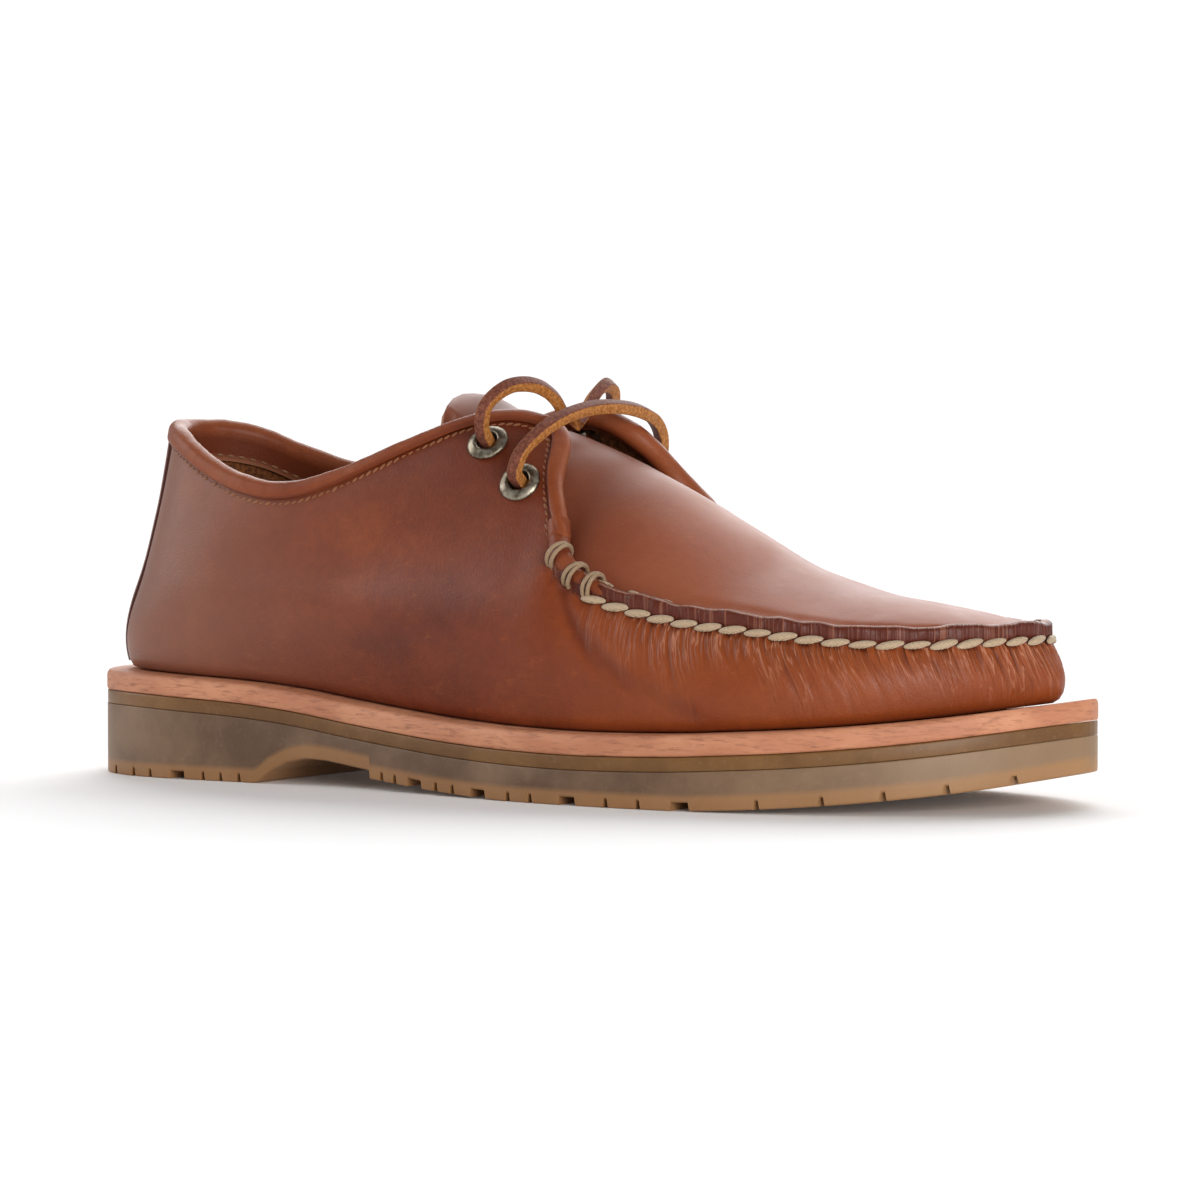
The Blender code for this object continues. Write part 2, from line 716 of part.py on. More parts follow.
def loft(sections, closed_section=True):
    """A closed body through sections with the same number of points, with flat ends."""
    count = len(sections[0])
    points = np.vstack(sections)
    faces = [list(range(count))[::-1]]
    for k in range(len(sections) - 1):
        for i in range(count):
            j = (i + 1) % count
            a, b = k * count, (k + 1) * count
            faces.append([a + i, a + j, b + j, b + i])
    last = (len(sections) - 1) * count
    faces.append([last + i for i in range(count)])
    return points, faces


def edge_width(x, side):
    edge = LATERAL_EDGE if side == "lateral" else MEDIAL_EDGE
    return np.interp(x, edge[:, 0], edge[:, 1])


def sole_stations(extra=()):
    """Stations along the sole, close together at the heel and the toe, plus the extra ones."""
    lateral, _ = edge_at(np.linspace(0, 1, 47), "lateral")
    inside = lateral[1:-1, 0]
    ends = [SOLE_TIP, SOLE_LENGTH - SOLE_TIP]
    return np.array(sorted(set(np.round(np.concatenate([inside, ends, extra]), 6))))


def at_least(low, high, width):
    """Two ends of a span, moved apart to at least this width."""
    spare = max(width - (high - low), 0) / 2
    return low - spare, high + spare


def plate(name, top, bottom, material, inset=0.0, chamfer=0.0):
    """A layer of the sole between two heights that change along its length."""
    sections = []
    for x in sole_stations():
        low, high = bottom(x), top(x)
        ends = (edge_width(x, "lateral") + inset, edge_width(x, "medial") - inset)
        ends = at_least(*ends, NARROWEST)
        trim = min(chamfer, (ends[1] - ends[0]) / 4)
        sections.append(
            np.array(
                [
                    (x, ends[0], low),
                    (x, ends[1], low),
                    (x, ends[1], high - trim),
                    (x, ends[1] - trim, high),
                    (x, ends[0] + trim, high),
                    (x, ends[0], high - trim),
                ]
                if chamfer
                else [(x, ends[0], low), (x, ends[1], low), (x, ends[1], high), (x, ends[0], high)]
            )
        )
    return add_object(name, *loft(sections), material)


def level(offset):
    return lambda x: float(sole_top(x)[0]) - offset


def make_midsole():
    return plate(
        "midsole", level(0), level(MIDSOLE), "natural_leather", chamfer=MIDSOLE_CHAMFER
    )


def make_rubber_layer():
    top = MIDSOLE + GAP
    return plate("rubber_midsole", level(top), level(top + RUBBER_LAYER), "amber_rubber", RUBBER_INSET)


def groove_edges():
    """Start and end of every tread groove along the sole."""
    return [
        (station * SOLE_LENGTH - width / 2, station * SOLE_LENGTH + width / 2)
        for station, width in TREAD
    ]


def make_outsole():
    """The lugged sole with its heel, arch and toe spring; each groove is a step in its underside."""
    grooves = groove_edges()
    arch_stations = [row[0] * SOLE_LENGTH for row in ARCH]
    extra = [x + side * GROOVE_STEP for pair in grooves for x in pair for side in (-1, 1)]
    top = MIDSOLE + RUBBER_LAYER + 2 * GAP
    sections = []
    for x in sole_stations(extra + arch_stations):
        low = float(sole_bottom(x)[0])
        if any(start < x < end for start, end in grooves):
            low += GROOVE_DEPTH
        high = float(sole_top(x)[0]) - top
        ends = (edge_width(x, "lateral") + OUTSOLE_INSET, edge_width(x, "medial") - OUTSOLE_INSET)
        ends = at_least(*ends, NARROWEST)
        sections.append(
            np.array([(x, ends[0], low), (x, ends[1], low), (x, ends[1], high), (x, ends[0], high)])
        )
    return add_object("outsole", *loft(sections), "gum_rubber", 25)


def insole_outline(share, side):
    point, outward = edge_at(share, side)
    inset = ledge(share) + FEATHER_TUCK + WALL + INSOLE_CLEARANCE
    return point - outward * np.atleast_1d(inset)[:, None]


def make_insole():
    """The sock that lies on the turned-in margin of the upper."""
    bottom_lift = 2 * GAP + WALL
    shares = np.linspace(0, 1, 41)
    lateral, medial = insole_outline(shares, "lateral"), insole_outline(shares, "medial")
    low_end = max(lateral[0, 0], medial[0, 0]) + INSOLE_TIP
    high_end = min(lateral[-1, 0], medial[-1, 0]) - INSOLE_TIP
    stations = np.clip(lateral[1:-1, 0], low_end, high_end)
    sections = []
    for x in sorted(set(np.round(np.concatenate([[low_end, high_end], stations]), 6))):
        low = np.interp(x, lateral[:, 0], lateral[:, 1])
        high = np.interp(x, medial[:, 0], medial[:, 1])
        low, high = at_least(low, high, NARROWEST)
        z = float(sole_top(x)[0]) + bottom_lift
        sections.append(
            np.array([(x, low, z), (x, high, z), (x, high, z + INSOLE_THICK), (x, low, z + INSOLE_THICK)])
        )
    return add_object("insole", *loft(sections), "lining_leather")


def flap_frame(side, share, up):
    """A point on the flap's outer surface, its outward normal and the direction up the flap."""
    turn = share if side == "lateral" else -share
    nudge = 0.01
    here = flap_line(turn, [up])[0]
    rise = flap_line(turn, [up + nudge])[0] - flap_line(turn, [up - nudge])[0]
    along = flap_line(turn + nudge, [up])[0] - flap_line(turn - nudge, [up])[0]
    normal = np.cross(along, rise)
    return here, normal / np.linalg.norm(normal), rise / np.linalg.norm(rise)


def turned(profile_rows, centre, axis, up, count=16):
    """A ring turned from (radius, height) rows about an axis."""
    side = np.cross(axis, up)
    side /= np.linalg.norm(side)
    up = np.cross(side, axis)
    points = []
    for k in range(count):
        angle = 2 * math.pi * k / count
        spoke = math.cos(angle) * side + math.sin(angle) * up
        points += [centre + spoke * radius + axis * height for radius, height in profile_rows]
    rows = len(profile_rows)
    faces = []
    for k in range(count):
        for i in range(rows):
            j = (i + 1) % rows
            a, b = k * rows, ((k + 1) % count) * rows
            faces.append([a + i, a + j, b + j, b + i])
    return np.array(points), faces


def make_eyelet(upper, side, number, share, up):
    """A flanged metal eyelet and the hole that it passes through."""
    centre, normal, rise = flap_frame(side, share, up)
    seat = GAP + EYELET_SEAT
    back = -WALL - GAP - EYELET_SEAT
    rows = [
        (EYELET_HOLE, seat + EYELET_INNER_LIP),
        (EYELET_HOLE + EYELET_METAL, seat + EYELET_LIP),
        (EYELET_FLANGE - EYELET_BEVEL, seat + EYELET_SHOULDER),
        (EYELET_FLANGE, seat + EYELET_RIM),
        (EYELET_FLANGE, seat),
        (EYELET_BARREL, seat),
        (EYELET_BARREL, back),
        (EYELET_BACK, back),
        (EYELET_BACK, back - EYELET_METAL),
        (EYELET_HOLE, back - EYELET_METAL),
    ]
    name = f"eyelet_{side}_{number}"
    eyelet = add_object(name, *turned(rows[::-1], centre, normal, rise), "brass")
    hole = EYELET_BARREL + GAP
    angles = np.linspace(0, 2 * math.pi, 16, endpoint=False)
    side_way = np.cross(normal, rise)
    spokes = [math.cos(a) * side_way + math.sin(a) * rise for a in angles]
    rings = [
        np.array([centre + spoke * hole + normal * height for spoke in spokes])
        for height in (-HOLE_REACH, HOLE_REACH)
    ]
    cutter = add_object(f"hole_{side}_{number}", *loft(rings[::-1]), "brass")
    cut(upper, cutter, f"hole_{side}_{number}")
    return eyelet


def binding_rails(turns, outer, inner, normals, seam):
    """For each place along the bound edge: three points in from the edge on each face, with normals.

    The path climbs the medial flap's front, goes round the collar and down the lateral front."""
    order = [k for k in range(len(turns)) if not seam[k]]
    first, last, top = order[0], order[-1], outer.shape[1] - 1
    climb = range(WAIST_ROW + 2, top)
    ends = ((first, 1), (last, -1))
    fronts = [[[(line + k * way, row) for k in range(3)] for row in climb] for line, way in ends]
    corners = [[(line + k * way, top - k) for k in range(3)] for line, way in ends]
    collar = [[(line, top - k) for k in range(3)] for line in order[1:-1]]
    cells = fronts[0] + [corners[0]] + collar + [corners[1]] + fronts[1][::-1]
    picked = [tuple(zip(*cell)) for cell in cells]
    rails = [[layer[at] for layer in (outer, inner, normals)] for at in picked]
    for end, beside in ((0, 1), (-1, -2)):
        pairs = zip(rails[end], rails[beside])
        rails[end] = [low + (high - low) * BINDING_START for low, high in pairs]
    shares = [abs(turns[cell[0][0]]) for cell in cells]
    return rails, shares


def along_rail(rail, distance):
    """A point at a distance in from the edge, along the three points of a rail."""
    step = np.concatenate([[0], np.cumsum(np.linalg.norm(np.diff(rail, axis=0), axis=1))])
    return np.array([np.interp(distance, step, rail[:, k]) for k in range(3)])


def make_binding(turns, outer, inner, normals, seam):
    """The folded strip round the quarters' edge: up each flap's front and round the collar."""
    rails, shares = binding_rails(turns, outer, inner, normals, seam)
    slot = GAP + BINDING_CLEARANCE
    shell = slot + BINDING_THICK
    sections = []
    for (face, back, normal), share in zip(rails, shares):
        inner_leg = np.interp(share, BINDING_FADE, (BINDING_INNER_LEG, BINDING_FLAP_LEG))
        edge_way = face[0] - along_rail(face, BINDING_LEG)
        edge_way /= np.linalg.norm(edge_way)
        out = normal[0]
        knee = np.linalg.norm(back[1] - back[0])
        legs = [0.0, min(inner_leg, knee) * 0.999, inner_leg]
        back_points = [along_rail(back, leg) for leg in legs]
        back_normals = [out, normal[1], normal[1]]
        if inner_leg <= knee:
            back_points[1] = along_rail(back, inner_leg * 0.5)
            back_normals[1:] = [out, out]
        front_leg = along_rail(face, BINDING_LEG)
        roll = WALL / 2 + shell
        centre = (face[0] + back[0]) / 2
        cap = [centre + (out * math.cos(a) + edge_way * math.sin(a)) * roll for a in ROLL_ANGLES]
        ring = [front_leg + out * shell]
        ring += cap
        ring += [p - n * shell for p, n in zip(back_points[1:], back_normals[1:])]
        ring += [p - n * slot for p, n in zip(back_points[::-1][:2], back_normals[::-1][:2])]
        ring += [back[0] - out * slot + edge_way * slot, face[0] + out * slot + edge_way * slot]
        ring += [front_leg + out * slot]
        sections.append(np.array(ring))
    return add_object("collar_binding", *loft(sections[::-1]), "binding_leather")


def at_turn(grid, turns, turn):
    """One column of a grid that runs round the shoe, also between the grid's own columns."""
    after = int(np.searchsorted(turns, turn))
    part = (turn - turns[after - 1]) / (turns[after] - turns[after - 1])
    return grid[after - 1] * (1 - part) + grid[after] * part


def make_back_strip(turns, outer, normals):
    """The narrow strip that covers the seam up the middle of the heel."""
    half_share = STRIP_WIDTH / 2 / (SOLE_LENGTH * UPPER_TURN)
    inside = [turn for turn in turns if abs(turn) < half_share - STRIP_EDGE_SHARE]
    places = [-half_share, *inside, half_share]
    columns = np.array([at_turn(outer, turns, turn) for turn in places])
    under = columns[:, MARGIN_ROWS:-1].copy()
    way = np.array([at_turn(normals, turns, turn) for turn in places])[:, MARGIN_ROWS:-1]
    drop = columns[:, -1] - columns[:, -2]
    span = np.linalg.norm(drop, axis=1)[:, None]
    under[:, -1] = columns[:, -1] - drop / span * (BINDING_LEG + GAP + STRIP_CLEARANCE)
    lower = under + way * GAP
    upper_face = under + way * (GAP + STRIP_THICK)
    filled = np.ones((under.shape[0] - 1, under.shape[1] - 1), bool)
    points, faces = shell_mesh(upper_face, lower, filled)
    return add_object("back_strip", points, faces, "leather")


def plug_boundary(turn, drop, inset):
    """A point inside the raised seam, below its top by drop and in from its outer face by inset."""
    waist, _ = line_point(WAIST, turn)
    top = waist[0] + UP * (RIDGE_HEIGHT - drop)
    return top - outward_at(turn) * inset


def crown_height(x):
    return sole_top(x) + profile(CROWN, 1, np.asarray(x) / SOLE_LENGTH) * UPPER_RISE


def flap_section(grid, turns, seam, x, side):
    """Across and height of a flap's hidden face where it crosses a station, from its edge down."""
    lines = [k for k in range(len(turns)) if not seam[k] and (turns[k] > 0) == (side < 0)]
    lines = sorted((k for k in lines if abs(turns[k]) > 0.3), key=lambda k: abs(turns[k]))
    places = []
    for row in range(grid.shape[1] - 1, WAIST_ROW - 1, -1):
        track = grid[lines, row]
        if track[0, 0] <= x <= track[-1, 0]:
            places.append([np.interp(x, track[:, 0], track[:, k]) for k in (1, 2)])
    return np.array(places)


def tongue_row(x, half_width, spread, hidden, turns, seam):
    """One row of the tongue: a low arch that stays under the flaps."""
    centre = crown_height(x)[0]
    across = spread * half_width + TONGUE_MIDDLE
    height = centre - (across - TONGUE_MIDDLE) ** 2 / (2 * TONGUE_RADIUS)
    for side in (-1, 1):
        section = flap_section(hidden, turns, seam, x, side)
        if len(section) < 2:
            continue
        reach = side * section[:, 0]
        rise = np.concatenate([[section[0, 1] + FLAP_EDGE_RISE], section[:, 1]])
        reach = np.concatenate([[reach[0] - FLAP_EDGE_REACH], reach])
        limit = np.interp(side * across, reach, rise, left=1e3)
        height = np.minimum(height, limit)
    return np.column_stack([np.full(len(spread), x), across, height])


def plug_rows(columns, hidden, turns, seam):
    """Rows of the plug's top face from the toe back to the throat, then of the tongue to its tip."""
    inset = RIDGE_WIDTH + GAP + PLUG_CLEARANCE
    spread = np.linspace(-1, 1, columns)
    rows = []
    for share in PLUG_SHARES:
        medial, lateral = (plug_boundary(turn, PLUG_DROP, inset) for turn in (-share, share))
        round_toe = np.clip((share - 0.80) / (PLUG_SHARES[0] - 0.80), 0, 1) ** 2
        row = []
        for t in spread:
            chord = lateral * (1 - t) / 2 + medial * (1 + t) / 2
            reach = share + (1 - share) * (1 - abs(t))
            arc = plug_boundary(reach if t <= 0 else -reach, PLUG_DROP, inset)
            point = chord * (1 - round_toe) + arc * round_toe
            rise = crown_height(point[0])[0] - (lateral[2] + medial[2]) / 2
            point[2] += max(rise, 0.0) * (1 - abs(t) ** 2.1) * (1 - round_toe)
            row.append(point)
        rows.append(row)
    for station, half in TONGUE_WIDTH[::-1]:
        x = station * SOLE_LENGTH
        rows.append(tongue_row(x, half * SOLE_WIDTH, spread, hidden, turns, seam))
    return np.array(rows)


def make_plug(turns, outer, normals, seam):
    """The apron of the toe and the tongue, one piece of leather."""
    hidden = outer - normals * (WALL + TONGUE_CLEARANCE)
    top = plug_rows(15, hidden, turns, seam)
    normals = grid_normals(top, False)
    normals *= np.sign(normals[:, :, 2:3])
    bottom = top - normals * PLUG_THICK
    side_in = top.copy()
    bottom[:, 0, :2] = side_in[:, 0, :2]
    bottom[:, -1, :2] = side_in[:, -1, :2]
    bottom[0, :, :2] = side_in[0, :, :2]
    bottom[:, 0, 2] = top[:, 0, 2] - PLUG_THICK
    bottom[:, -1, 2] = top[:, -1, 2] - PLUG_THICK
    bottom[0, :, 2] = top[0, :, 2] - PLUG_THICK
    filled = np.ones((len(top) - 1, top.shape[1] - 1), bool)
    points, faces = shell_mesh(bottom, top, filled)
    return add_object("plug_and_tongue", points, faces, "leather")


def lace(name, points, lead, count):
    """A square leather lace swept along a smooth path."""
    path = smooth_path(points, count)
    half = LACE_SIDE / 2
    sections = []
    for point, (wide, deep) in zip(path, path_sides(path, lead)):
        ring = [(-half, half), (half, half), (half, -half), (-half, -half)]
        sections.append(np.array([point + wide * a + deep * b for a, b in ring]))
    return add_object(name, *loft(sections), "rawhide", 50)


def smooth_path(points, count):
    points = np.asarray(points, float)
    step = np.concatenate([[0], np.cumsum(np.linalg.norm(np.diff(points, axis=0), axis=1))])
    fine = flow(step, points, np.linspace(0, step[-1], 8 * count))
    length = np.concatenate([[0], np.cumsum(np.linalg.norm(np.diff(fine, axis=0), axis=1))])
    at = np.linspace(0, length[-1], count)
    return np.column_stack([np.interp(at, length, fine[:, k]) for k in range(3)])


def path_sides(path, lead):
    """Width and thickness directions that turn as little as possible along a path."""
    along = np.gradient(path, axis=0)
    along /= np.linalg.norm(along, axis=1)[:, None]
    sides = []
    deep = np.asarray(lead, float)
    for way in along:
        deep = deep - way * deep.dot(way)
        deep /= np.linalg.norm(deep)
        sides.append((np.cross(way, deep), deep.copy()))
    return sides


def eyelet_place(side, number):
    """Just outside one eyelet: the point where its lace starts, and the outward normal."""
    row = next(row for row in EYELET_PLACES if row[:2] == (side, number))
    centre, normal, _ = flap_frame(side, row[2], row[3])
    return centre + normal * (GAP + LACE_LIFT), normal


def make_laces():
    """The bar between the lower eyelets and the two free ends from the upper ones."""
    start, normal = eyelet_place("lateral", "2")
    end, _ = eyelet_place("medial", "2")
    span = end - start
    unit = np.linalg.norm(span)
    ahead = np.array([unit, 0.0, 0.0])
    bar = [start + span * a + ahead * b + UP * unit * c for a, b, c in LACE_BAR]
    lace("lace_bar", bar, normal, 22)
    for side, inward, table in (("lateral", 1, LACE_END_LATERAL), ("medial", -1, LACE_END_MEDIAL)):
        start, normal = eyelet_place(side, "1")
        across = np.array([0.0, inward * unit, 0.0])
        path = [start + across * a + ahead * b + UP * unit * c for a, b, c in table]
        lace(f"lace_end_{side}", path, normal, 18)


MATERIALS = {}


def clear_scene():
    for item in list(bpy.data.objects):
        bpy.data.objects.remove(item)


def main():
    clear_scene()
    for name, (colour, roughness, metallic) in COLOURS.items():
        MATERIALS[name] = make_material(name, colour, roughness, metallic)
    make_outsole()
    make_rubber_layer()
    make_midsole()
    make_insole()
    turns, outer, inner, normals, filled, seam = upper_grids()
    points, faces = shell_mesh(outer, inner, filled)
    upper = add_object("upper", points, faces, "leather")
    make_plug(turns, outer, normals, seam)
    make_back_strip(turns, outer, normals)
    make_binding(turns, outer, inner, normals, seam)
    for side, number, share, up in EYELET_PLACES:
        make_eyelet(upper, side, number, share, up)
    make_laces()


main()
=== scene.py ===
# %% [markdown]
# A right-foot lace-up shoe with a moccasin toe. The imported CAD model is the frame: it fixes where
# each piece is. This script gives every piece its real surface: creased leather, a gathered and
# hand-sewn toe seam, a rolled collar, a stacked sole with a moulded tread, and a rawhide lace.

import math

import bpy
import numpy as np
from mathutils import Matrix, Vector


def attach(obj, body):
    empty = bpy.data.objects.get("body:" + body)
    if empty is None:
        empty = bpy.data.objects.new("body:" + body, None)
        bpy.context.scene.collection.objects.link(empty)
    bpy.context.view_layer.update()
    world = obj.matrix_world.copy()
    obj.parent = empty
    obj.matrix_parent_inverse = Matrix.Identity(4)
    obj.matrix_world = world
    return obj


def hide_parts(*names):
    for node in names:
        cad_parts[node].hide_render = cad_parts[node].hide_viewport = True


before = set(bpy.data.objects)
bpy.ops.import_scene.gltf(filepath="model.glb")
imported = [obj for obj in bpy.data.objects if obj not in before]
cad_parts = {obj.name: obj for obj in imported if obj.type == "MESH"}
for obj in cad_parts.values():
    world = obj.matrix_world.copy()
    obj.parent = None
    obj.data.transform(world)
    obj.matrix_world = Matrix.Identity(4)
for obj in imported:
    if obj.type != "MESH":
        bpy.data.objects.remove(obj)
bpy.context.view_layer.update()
print("CAD nodes:", len(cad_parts))

# %% [markdown]
# The camera comes first, because everything else is judged through it. The shoe was photographed
# from low down, about 29 degrees round from its outer side towards the toe, with a long lens. A long
# lens flattens depth, so the far flap looks almost as large as the near one.

# %% Camera
CAMERA_TURN = math.radians(29.1)
CAMERA_HEIGHT = 0.090
CAMERA_DISTANCE = 1.108
CAMERA_SIDE = -0.0435
LENS = 122.9
AIM_RIGHT, AIM_UP = -0.0322, -0.0356
# The camera was fitted with the shoe's middle a millimetre back from the model's origin
FIT_OFFSET = Vector((-0.001, 0.002, 0.0))


def add_object(name, data):
    """An object in the scene that shows the given data."""
    made = bpy.data.objects.new(name, data)
    bpy.context.scene.collection.objects.link(made)
    return made


def place_camera():
    cos, sin = math.cos(CAMERA_TURN), math.sin(CAMERA_TURN)
    right, ahead = Vector((cos, sin, 0)), Vector((-sin, cos, 0))
    place = -CAMERA_SIDE * right - CAMERA_DISTANCE * ahead
    place.z = CAMERA_HEIGHT
    look = (ahead + right * AIM_RIGHT + Vector((0, 0, AIM_UP))).normalized()
    data = bpy.data.cameras.new("camera")
    data.lens, data.sensor_width = LENS, 36.0
    data.clip_start = 0.01
    camera = add_object("camera", data)
    camera.location = place + FIT_OFFSET
    camera.rotation_euler = look.to_track_quat("-Z", "Y").to_euler()
    bpy.context.scene.camera = camera
    return camera


print("camera at", [round(v, 3) for v in place_camera().location])

# %% [markdown]
# The shoe stands on a plain pale floor that runs out of sight. Two wide suns light the floor and the
# shoe evenly, one from behind and one from the left, and a large panel in front lifts the near side. The
# sky is brighter near the horizon than overhead: oiled leather mirrors its surroundings, and a dimmer
# ceiling keeps the faces that look up dark and rich.

# %% Floor and light
HALF_FLOOR = 6
CORNERS = [(-1, -1), (1, -1), (1, 1), (-1, 1)]
# Brightness of the background as the camera sees it
WHITE_SEEN = 1.05


def make_floor():
    mesh = bpy.data.meshes.new("studio_floor")
    mesh.from_pydata([(x * HALF_FLOOR, y * HALF_FLOOR, 0) for x, y in CORNERS], [], [(0, 1, 2, 3)])
    material = bpy.data.materials.new("studio_floor")
    material.use_nodes = True
    paint = {"Base Color": (0.96, 0.96, 0.96, 1), "Roughness": 0.8, "Specular IOR Level": 0.2}
    paint |= {"Emission Color": (1, 1, 1, 1), "Emission Strength": 0.02}
    for label, value in paint.items():
        material.node_tree.nodes["Principled BSDF"].inputs[label].default_value = value
    mesh.materials.append(material)
    add_object("studio_floor", mesh)


def soft_panel(name, place, aim, size, watts):
    """A square area light that faces a point."""
    data = bpy.data.lights.new(name, "AREA")
    data.size, data.energy = size, watts
    panel = add_object(name, data)
    panel.location = place
    panel.rotation_euler = (Vector(aim) - Vector(place)).to_track_quat("-Z", "Y").to_euler()


def soft_sun(name, toward, strength, spread):
    """A distant light as wide as a large white ceiling, which lights the whole floor evenly."""
    data = bpy.data.lights.new(name, "SUN")
    data.energy, data.angle = strength, math.radians(spread)
    sun = add_object(name, data)
    sun.rotation_euler = Vector(toward).to_track_quat("Z", "Y").to_euler()


def white_world(horizon, zenith):
    """White behind the shoe, and a gentle light from all round that is dimmer overhead."""
    world = bpy.data.worlds.new("studio")
    world.use_nodes = True
    tree = world.node_tree
    link = tree.links.new
    toward = tree.nodes.new("ShaderNodeSeparateXYZ")
    link(tree.nodes.new("ShaderNodeTexCoord").outputs["Generated"], toward.inputs[0])
    sky = tree.nodes.new("ShaderNodeMapRange")
    sky.inputs["To Min"].default_value, sky.inputs["To Max"].default_value = horizon, zenith
    link(toward.outputs["Z"], sky.inputs["Value"])
    level = tree.nodes.new("ShaderNodeMapRange")
    link(tree.nodes.new("ShaderNodeLightPath").outputs["Is Camera Ray"], level.inputs["Value"])
    link(sky.outputs["Result"], level.inputs["To Min"])
    level.inputs["To Max"].default_value = WHITE_SEEN
    tree.nodes["Background"].inputs["Color"].default_value = (1, 1, 1, 1)
    link(level.outputs["Result"], tree.nodes["Background"].inputs["Strength"])
    bpy.context.scene.world = world


make_floor()
soft_sun("sun_behind", (-0.25, 0.8, 0.62), 2.9, 58)
soft_sun("sun_left", (-0.95, -0.25, 0.5), 1.15, 40)
soft_panel("panel_front", (1.45, -1.05, 0.26), (0.07, 0, 0.02), 0.9, 27.0)
white_world(0.50, 0.16)
bpy.context.scene.view_settings.view_transform = "Standard"
print("lights:", len(bpy.data.lights))

# %% [markdown]
# The shoe's measurements are in millimetres, as a shoemaker would keep them. The sole's outline and
# side profile, the waist line where the wall meets the seam, and the collar line are short tables of
# shares, and smooth curves run through them. They are the same lines that the solids follow, so each
# detailed surface lands exactly on its solid.

# %% Sizes in millimetres
MM = 0.001
SOLE_LENGTH = 300.0
SOLE_WIDTH = 105.0
UPPER_RISE = 70.0
GAP = 0.3
OUTSOLE_BALL = 8.9
RUBBER_LAYER = 3.5
MIDSOLE = 5.5
HEEL_LIFT = 10.5
TOE_SPRING = 9.6
ARCH_RISE = 7.5
GROOVE_DEPTH = 2.2
NARROW_GROOVE = 1.3
WIDE_GROOVE = 5.2
WALL = 2.2
FEATHER_TUCK = 1.6
FEATHER_RADIUS = 2.4
LASTING_MARGIN = 8.0
SIDE_LEDGE = 5.2
TOE_LEDGE = 7.6
RIDGE_HEIGHT = 4.8
RIDGE_WIDTH = 4.0
PLUG_THICK = 2.0
PLUG_DROP = 1.2
TONGUE_RADIUS = 25.0
TONGUE_MIDDLE = 1.26
TONGUE_CLEARANCE = 3.0
# Shares of the way from heel to toe where the plug's first and last rows meet the seam
PLUG_FRONT, PLUG_BACK = 0.93, 0.555
BINDING_THICK = 1.2
BINDING_LEG = 2.7
BINDING_INNER_LEG = 8.5
BINDING_FLAP_LEG = 3.0
BINDING_FADE = (0.34, 0.42)
STRIP_THICK = 1.6
STRIP_WIDTH = 30.0
LACE_SIDE = 3.2
LACE_LIFT = 3.9
SOLE_STACK = OUTSOLE_BALL + RUBBER_LAYER + MIDSOLE + 2 * GAP
SEAM_PITCH = 6.9
THREAD_THICK = 1.9
# Turns of thread at each throat end: distance from the throat, height of the middle above the waist
THROAT_WRAPS = [(0.3, 4.9), (6.4, 3.4), (12.4, 2.9)]
print("sole", SOLE_LENGTH, "x", SOLE_WIDTH, "mm")

# %% Tables of the sole
# Sole outline, as shares of the length and the width
SOLE_OUTLINE = [
    # station, lateral, medial
    (0.0, 0.0, 0.0), (0.01, 0.124, 0.124), (0.033, 0.229, 0.229), (0.067, 0.295, 0.295),
    (0.117, 0.333, 0.333), (0.2, 0.343, 0.324), (0.3, 0.362, 0.295), (0.4, 0.41, 0.292),
    (0.5, 0.467, 0.333), (0.6, 0.51, 0.41), (0.67, 0.519, 0.457), (0.735, 0.51, 0.481),
    (0.8, 0.471, 0.476), (0.867, 0.39, 0.433), (0.917, 0.3, 0.371), (0.96, 0.176, 0.276),
    (0.985, 0.067, 0.181), (1.0, -0.057, 0.057),
]
# Side profile of the sole: shares of the heel lift and of the toe spring at each station
SOLE_PROFILE = [
    # station, heel_lift, toe_top, toe_bottom
    (0.0, 1.01, 0.0, 0.0), (0.07, 1.0, 0.0, 0.0), (0.14, 0.93, 0.0, 0.0), (0.207, 0.84, 0.0, 0.0),
    (0.27, 0.69, 0.0, 0.0), (0.337, 0.46, 0.0, 0.0), (0.403, 0.27, 0.0, 0.0),
    (0.47, 0.115, 0.0, 0.0), (0.537, 0.03, 0.0, 0.0), (0.6, 0.0, 0.0, 0.0),
    (0.655, 0.0, 0.025, 0.0), (0.705, 0.0, 0.075, 0.0), (0.74, 0.0, 0.135, 0.045),
    (0.803, 0.0, 0.25, 0.165), (0.86, 0.0, 0.4, 0.32), (0.913, 0.0, 0.59, 0.51),
    (0.957, 0.0, 0.79, 0.72), (1.0, 0.0, 1.0, 1.0),
]
# Underside between the heel's front edge and the ball, as shares of the arch rise
ARCH = [
    # station, rise
    (0.23, 0.0), (0.236, 0.1), (0.248, 0.46), (0.268, 0.82), (0.29, 1.0), (0.315, 0.97),
    (0.369, 0.72), (0.37, 0.42), (0.427, 0.21), (0.493, 0.05), (0.53, 0.0),
]
# Transverse grooves of the tread: the station of each one's middle and its width
TREAD = [
    (station, NARROW_GROOVE)
    for station in (
        0.055, 0.085, 0.108, 0.172, 0.192, 0.213, 0.384, 0.4, 0.45,
        0.47, 0.535, 0.56, 0.64, 0.672, 0.78, 0.832, 0.878, 0.922, 0.963,
    )
] + [(station, WIDE_GROOVE) for station in (0.142, 0.424, 0.5, 0.6, 0.712)]

